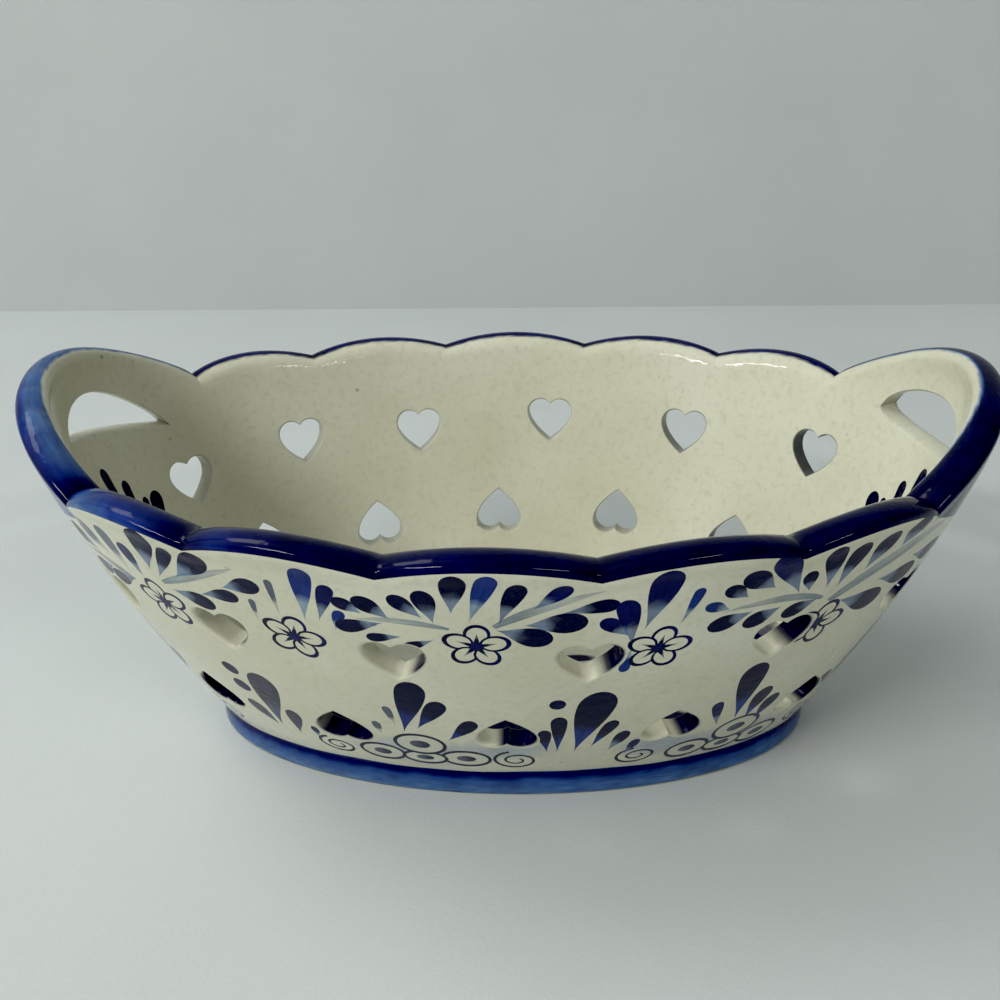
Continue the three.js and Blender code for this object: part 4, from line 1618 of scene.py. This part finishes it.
def cloth_material(name, cloth):
    material = bpy.data.materials.new(name)
    tree = Tree(material)
    place = tree.add("ShaderNodeTexCoord").outputs["Object"]
    shade = tree.noise(place, 14.0, 3.0)
    colour = tree.mix(tree.spread(shade, 0.3, 0.7, 0.0, 1.0), cloth, cloth * 0.95)
    tree.link(colour, tree.shader.inputs["Base Color"])
    tree.shader.inputs["Roughness"].default_value = 0.85
    weave = tree.noise(place, 1500.0, 1.0)
    tree.bump(weave, BUMP_STRENGTH, CLOTH_RELIEF)
    return material


def flat_sheet(name, corners, material):
    mesh = bpy.data.meshes.new(name)
    mesh.from_pydata(corners, [], [(0, 1, 2, 3)])
    mesh.materials.append(material)
    add_object(name, mesh)


def build_stage():
    wide, near, high = 1.6, -1.6, 1.2
    back = BACKDROP_AT
    table = [(-wide, near, 0), (wide, near, 0), (wide, back, 0), (-wide, back, 0)]
    flat_sheet("table_cloth", table, cloth_material("pale_cloth", CLOTH))
    drop = [(-wide, back, 0), (wide, back, 0), (wide, back, high), (-wide, back, high)]
    # The backdrop's darker cloth is painted shade.
    flat_sheet("backdrop", drop, cloth_material("backdrop_cloth", CLOTH * BACKDROP_SHADE))


def build_camera():
    data = bpy.data.cameras.new("camera")
    data.sensor_width = SENSOR_WIDTH
    data.lens = SENSOR_WIDTH * FOCAL_PIXELS / IMAGE_PIXELS
    data.clip_start = 0.01
    camera = add_object("camera", data)
    level = math.cos(CAMERA_PITCH)
    ahead = Vector((math.sin(CAMERA_YAW) * level, math.cos(CAMERA_YAW) * level, -math.sin(CAMERA_PITCH)))
    right = Vector((math.cos(CAMERA_YAW), -math.sin(CAMERA_YAW), 0))
    up = right.cross(ahead)
    rolled_right = math.cos(CAMERA_ROLL) * right + math.sin(CAMERA_ROLL) * up
    rolled_up = math.cos(CAMERA_ROLL) * up - math.sin(CAMERA_ROLL) * right
    turn = Matrix((rolled_right, rolled_up, -ahead)).transposed()
    camera.matrix_world = Matrix.Translation(Vector(CAMERA_PLACE) * MM) @ turn.to_4x4()
    bpy.context.scene.camera = camera


def soft_box(name, place, aim, size, power):
    data = bpy.data.lights.new(name, "AREA")
    data.shape = "RECTANGLE"
    data.size, data.size_y = size
    data.energy = power
    data.color = WARM_LIGHT
    light = add_object(name, data)
    light.location = place
    light.rotation_euler = (Vector(aim) - Vector(place)).to_track_quat("-Z", "Y").to_euler()


SKY_COLOUR = (0.93, 0.97, 1.0, 1)
SKY_MIDDLE = Vector((-0.66, 0.16, 0.73))
SKY_GLOW = 1.15
SKY_FLOOR = 0.03
SKY_FOCUS = 2.5
ROOM_SHADE = 0.42
BLACK_LEVEL = 0.011


def build_sky():
    """Soft light from all round, strongest from above and from the left, in a plain pale room."""
    world = bpy.data.worlds.new("room")
    tree = Tree(world)
    facing = tree.add("ShaderNodeVectorMath", operation="DOT_PRODUCT")
    facing.inputs[1].default_value = SKY_MIDDLE.normalized()
    tree.link(tree.add("ShaderNodeTexCoord").outputs["Generated"], facing.inputs[0])
    glow = tree.math("POWER", tree.math("MAXIMUM", facing.outputs["Value"], 0.0), SKY_FOCUS)
    strength = tree.math("ADD", tree.math("MULTIPLY", glow, SKY_GLOW), SKY_FLOOR)
    sky = tree.tree.nodes["Background"]
    tree.link(strength, sky.inputs["Strength"])
    room = tree.add("ShaderNodeBackground")
    room.inputs["Strength"].default_value = ROOM_SHADE
    seen = tree.add("ShaderNodeMixShader")
    tree.link(tree.add("ShaderNodeLightPath").outputs["Is Camera Ray"], seen.inputs["Fac"])
    for background, socket in ((sky, seen.inputs[1]), (room, seen.inputs[2])):
        background.inputs["Color"].default_value = SKY_COLOUR
        tree.link(background.outputs["Background"], socket)
    tree.link(seen.outputs["Shader"], tree.tree.nodes["World Output"].inputs["Surface"])
    bpy.context.scene.world = world


def build_light():
    middle = (0, 0, 0.03)
    soft_box("left_light", (-0.63, -0.69, 0.69), middle, (0.5, 0.035), 5.6)
    soft_box("right_light", (0.53, -0.77, 0.69), middle, (0.34, 0.035), 1.8)
    soft_box("top_light", (-0.55, 0.18, 0.82), (-0.05, 0.1, 0), (0.5, 0.3), 2.6)
    soft_box("low_light", (-0.15, -1.0, 0.22), middle, (1.0, 0.36), 1.0)
    build_sky()
    view = bpy.context.scene.view_settings
    view.view_transform = "Standard"
    view.use_curve_mapping = True
    view.curve_mapping.black_level = (BLACK_LEVEL, BLACK_LEVEL, BLACK_LEVEL)
    view.curve_mapping.update()


build_camera()
build_stage()
glaze = painted_glaze("painted_glaze")
build_wall(glaze)
build_floor(glaze)
build_foot(glaze)
build_lip("front_lip_painted", -math.pi / 2, "front_lip", front_lip_tone, 11, glaze)
build_lip("back_lip_painted", math.pi / 2, "back_lip", back_lip_tone, 17, glaze)
build_handle("left_handle_painted", -math.pi, LEFT_SLOT, "left_handle", left_handle_tone, 23, glaze)
build_handle("right_handle_painted", 0.0, RIGHT_SLOT, "right_handle", right_handle_tone, 29, glaze)
build_light()
